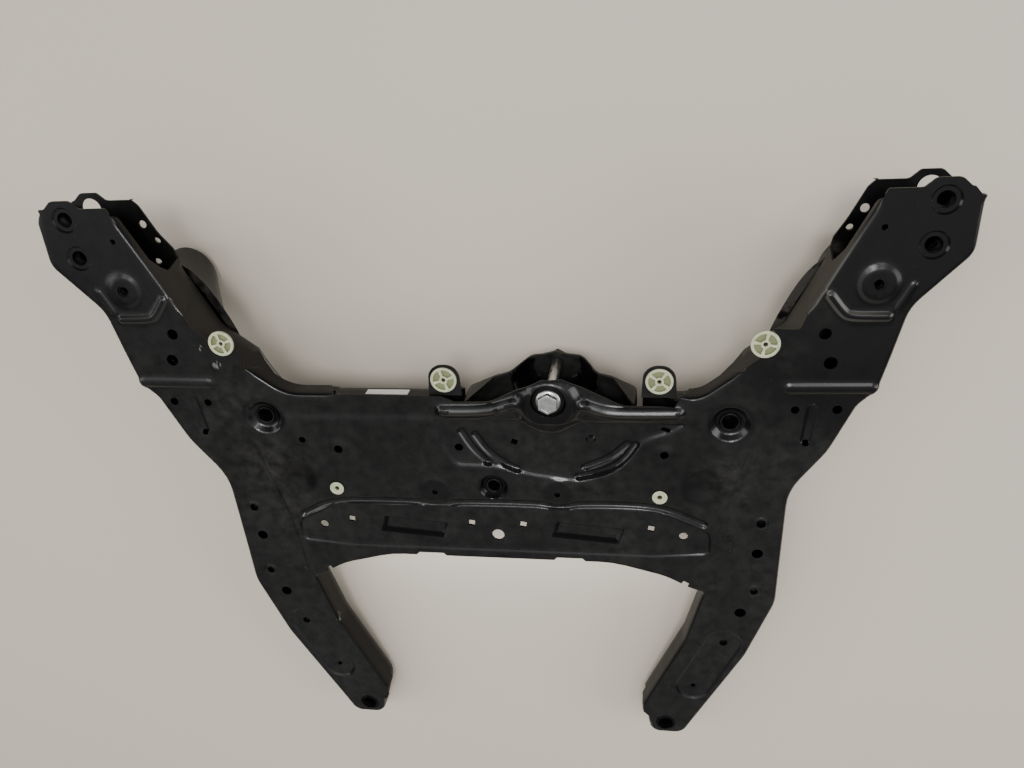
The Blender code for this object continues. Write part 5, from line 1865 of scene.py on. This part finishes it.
@dataclass
class Clips:
    """All push clips, plugs and the brackets that hold the inner clips."""

    coat: bpy.types.Material
    bracket_sheet: float = 2.0

    def bracket(self, label: str) -> None:
        """Model the bracket under one inner clip.

        Args:
            label: which side it stands on.
        """
        name = f"clip_bracket_{label}"
        top, _ = Stage.span(name)
        x, y = INNER_CLIPS[label]
        base = FRONT_EDGE_Y - 2.4
        corners = [Rim(x - 19, base), Rim(x + 19, base), Rim(x + EAR, y + EAR, EAR - 1.0),
                   Rim(x - EAR, y + EAR, EAR - 1.0)]
        rims = [replace(rim, fold=0.0) for rim in rounded(corners)]
        sheet = PressedSheet(f"fine_{name}", evenly(rims, 3.0), ((0.0, top),), [],
                             [circle((x, y), CLIP_BORE)], Skin.UNDERSIDE, thickness=self.bracket_sheet)
        Stage.adopt(sheet.build(), "black_coat", name, self.coat)

    def build(self) -> None:
        """Make all clips."""
        turns = {"left": 0.35, "right": 0.9}
        for label, sign in SIDES:
            self.bracket(label)
            BigClip().build(f"clip_inner_{label}", INNER_CLIPS[label], turns[label])
            BigClip().build(f"clip_outer_{label}", (sign * OUTER_CLIP[0], OUTER_CLIP[1]), 0.7 - turns[label])
            SmallClip().build(f"clip_small_{label}", (sign * SMALL_CLIP[0], SMALL_CLIP[1]))


# Studio

@dataclass
class Studio:
    """Floor, camera and lights."""

    eye: tuple[float, float, float] = (172.04, 608.25, 827.51)
    turn: tuple[float, float, float] = (-26.04, 8.14, -3.41)
    focal_pixels: float = 830.0
    picture_width: float = 1024.0
    sensor_width: float = 36.0
    floor_size: float = 14.0
    floor_gap: float = 0.0006
    room: tuple[float, float, float, float] = (0.86, 0.87, 0.9, 1.0)
    room_strength: float = 0.07

    def camera(self) -> None:
        """Set the camera where the photograph was taken."""
        data = bpy.data.cameras.new("camera")
        data.sensor_width = self.sensor_width
        data.lens = self.focal_pixels / self.picture_width * data.sensor_width
        eye = bpy.data.objects.new("camera", data)
        eye.location = Stage.place(np.array([self.eye]))[0]
        eye.rotation_euler = [math.radians(angle) for angle in self.turn]
        bpy.context.collection.objects.link(eye)
        bpy.context.scene.camera = eye

    def floor(self) -> None:
        """Lay the floor under the tower tops and the feet, on which the part comes to rest."""
        tower_y = TOWER_TOP[1] - 29.0
        foot_y = FOOT[1] - FOOT_TIP + 8.0
        slope = (BACK_LEG_Z - TOWER_TOP_Z) / (foot_y - tower_y)
        middle = Stage.place(np.array([[0.0, tower_y, TOWER_TOP_Z]]))[0]
        bpy.ops.object.select_all(action="DESELECT")
        bpy.ops.mesh.primitive_plane_add(size=self.floor_size)
        plane = bpy.context.object
        plane.name = "floor"
        plane.rotation_euler = (math.atan(slope), 0.0, 0.0)
        plane.location = (0.0, middle[1], middle[2] - self.floor_gap)
        plane.data.materials.append(Plaster().material())

    def lamp(self, name: str, place: tuple, size: tuple, power: float, aim: tuple = (0.0, 0.0, 0.1)) -> None:
        """Hang one soft lamp.

        Args:
            name: its name.
            place: where it hangs, in metres.
            size: its width and height.
            power: its power in watts.
            aim: what it points at.
        """
        data = bpy.data.lights.new(name, "AREA")
        data.shape = "RECTANGLE"
        data.size, data.size_y = size
        data.energy = power
        thing = bpy.data.objects.new(name, data)
        thing.location = place
        thing.rotation_euler = (Vector(aim) - Vector(place)).to_track_quat("-Z", "Y").to_euler()
        bpy.context.collection.objects.link(thing)

    def light(self) -> None:
        """Hang the lamps and fill the room with pale light."""
        for x, power in ((1.15, 7.0), (0.25, 24.0), (-0.5, 8.0), (-1.35, 5.0)):
            self.lamp(f"ceiling_{x}", (x, 1.2, 2.7), (0.5, 0.7), power)
        self.lamp("sky", (0.0, 0.4, 4.0), (7.0, 5.0), 66.0)
        self.lamp("under", (0.0, -0.11, 0.125), (0.5, 0.05), 0.12, (0.0, -0.11, 0.0))
        self.lamp("window", (2.8, 0.4, 1.6), (1.6, 1.4), 28.0)
        self.lamp("wall", (-2.8, 0.6, 1.9), (1.6, 1.6), 20.0)
        self.lamp("table", (0.0, -2.3, 2.0), (5.0, 2.4), 12.0)
        world = bpy.data.worlds.new("room")
        world.use_nodes = True
        background = world.node_tree.nodes["Background"]
        background.inputs["Color"].default_value = self.room
        background.inputs["Strength"].default_value = self.room_strength
        bpy.context.scene.world = world

    def build(self) -> None:
        """Set up the whole studio."""
        self.camera()
        self.floor()
        self.light()


def coat() -> BlackCoat:
    """The black coat with its dusty, powdery, rubbed and clear places.

    Returns:
        The finish of the shells, the pocket, the towers and the clip brackets.
    """
    dusty = (Mark((-275, 100, 8), 75, 0.5), Mark((-262, 40, 2), 60, 0.4), Mark((268, 90, 8), 60, 0.35),
             Mark((-300, 180, 14), 60, 0.3), Mark((322, 250, -50), 75, 4.0), Mark((345, 300, -50), 75, 4.0),
             Mark((-322, 250, -50), 75, 0.6), Mark((-345, 300, -50), 75, 0.6))
    rubbed = (Mark((-310, 238, 16), 13, 0.4), Mark((-328, 258, 16), 8, 0.5), Mark((-232, -150, -8), 12, 0.7),
              Mark((190, -318, -9), 13, 0.6), Mark((206, -336, -14), 11, 0.6))
    x, y = TORQUE_BOLT
    # painted shade: the film is left off round the rail and centre bores, the dimples, the cross nuts, the
    # cone and over the right arm's front
    clear = (Mark((RAIL_BORE[0], RAIL_BORE[1], 5), 36), Mark((-RAIL_BORE[0], RAIL_BORE[1], 5), 36),
             Mark((242, 81, 4), 34, 0.8), Mark((-242, 81, 4), 34, 0.8), Mark((*CENTRE_BORE, 2), 26),
             Mark((430, 330, 15), 260, 0.7), Mark((x, y - 7, 16), 56, 0.85), Mark((-72, 65, 5), 26, 0.5),
             Mark((76, 66, 5), 26, 0.5))
    powdery = (Mark((348, 318, -30), 112), Mark((-348, 318, -30), 112, 0.3), Mark((412, 297, -110), 80, 0.3),
               Mark((-412, 297, -110), 80, 0.35))
    return BlackCoat(dusty, powdery, rubbed, clear)


def main() -> None:
    """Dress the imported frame."""
    logging.basicConfig(level=logging.INFO)
    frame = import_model()
    Stage.settle()
    black, steel = coat().material(), BareSteel().material()
    zinc, nylon, paper = ZincPlate().material(), Nylon().material(), LabelPaper().material()
    finishes = {"black_coat": black, "bare_steel": steel, "zinc_plate": zinc, "natural_plastic": nylon,
                "label_paper": paper}
    for part in frame["record"]["subparts"]:
        node = frame["nodes"][part["node"]]
        node.data.materials.clear()
        node.data.materials.append(finishes[part["material_slot"]])
    Shells(black).build()
    TorquePocket(black).build()
    Towers(black).build()
    Sleeves(steel).build()
    WeldNuts(steel).build()
    TorqueBolt(zinc).build()
    Clips(black).build()
    Studio().build()


if __name__ == "__main__":
    main()
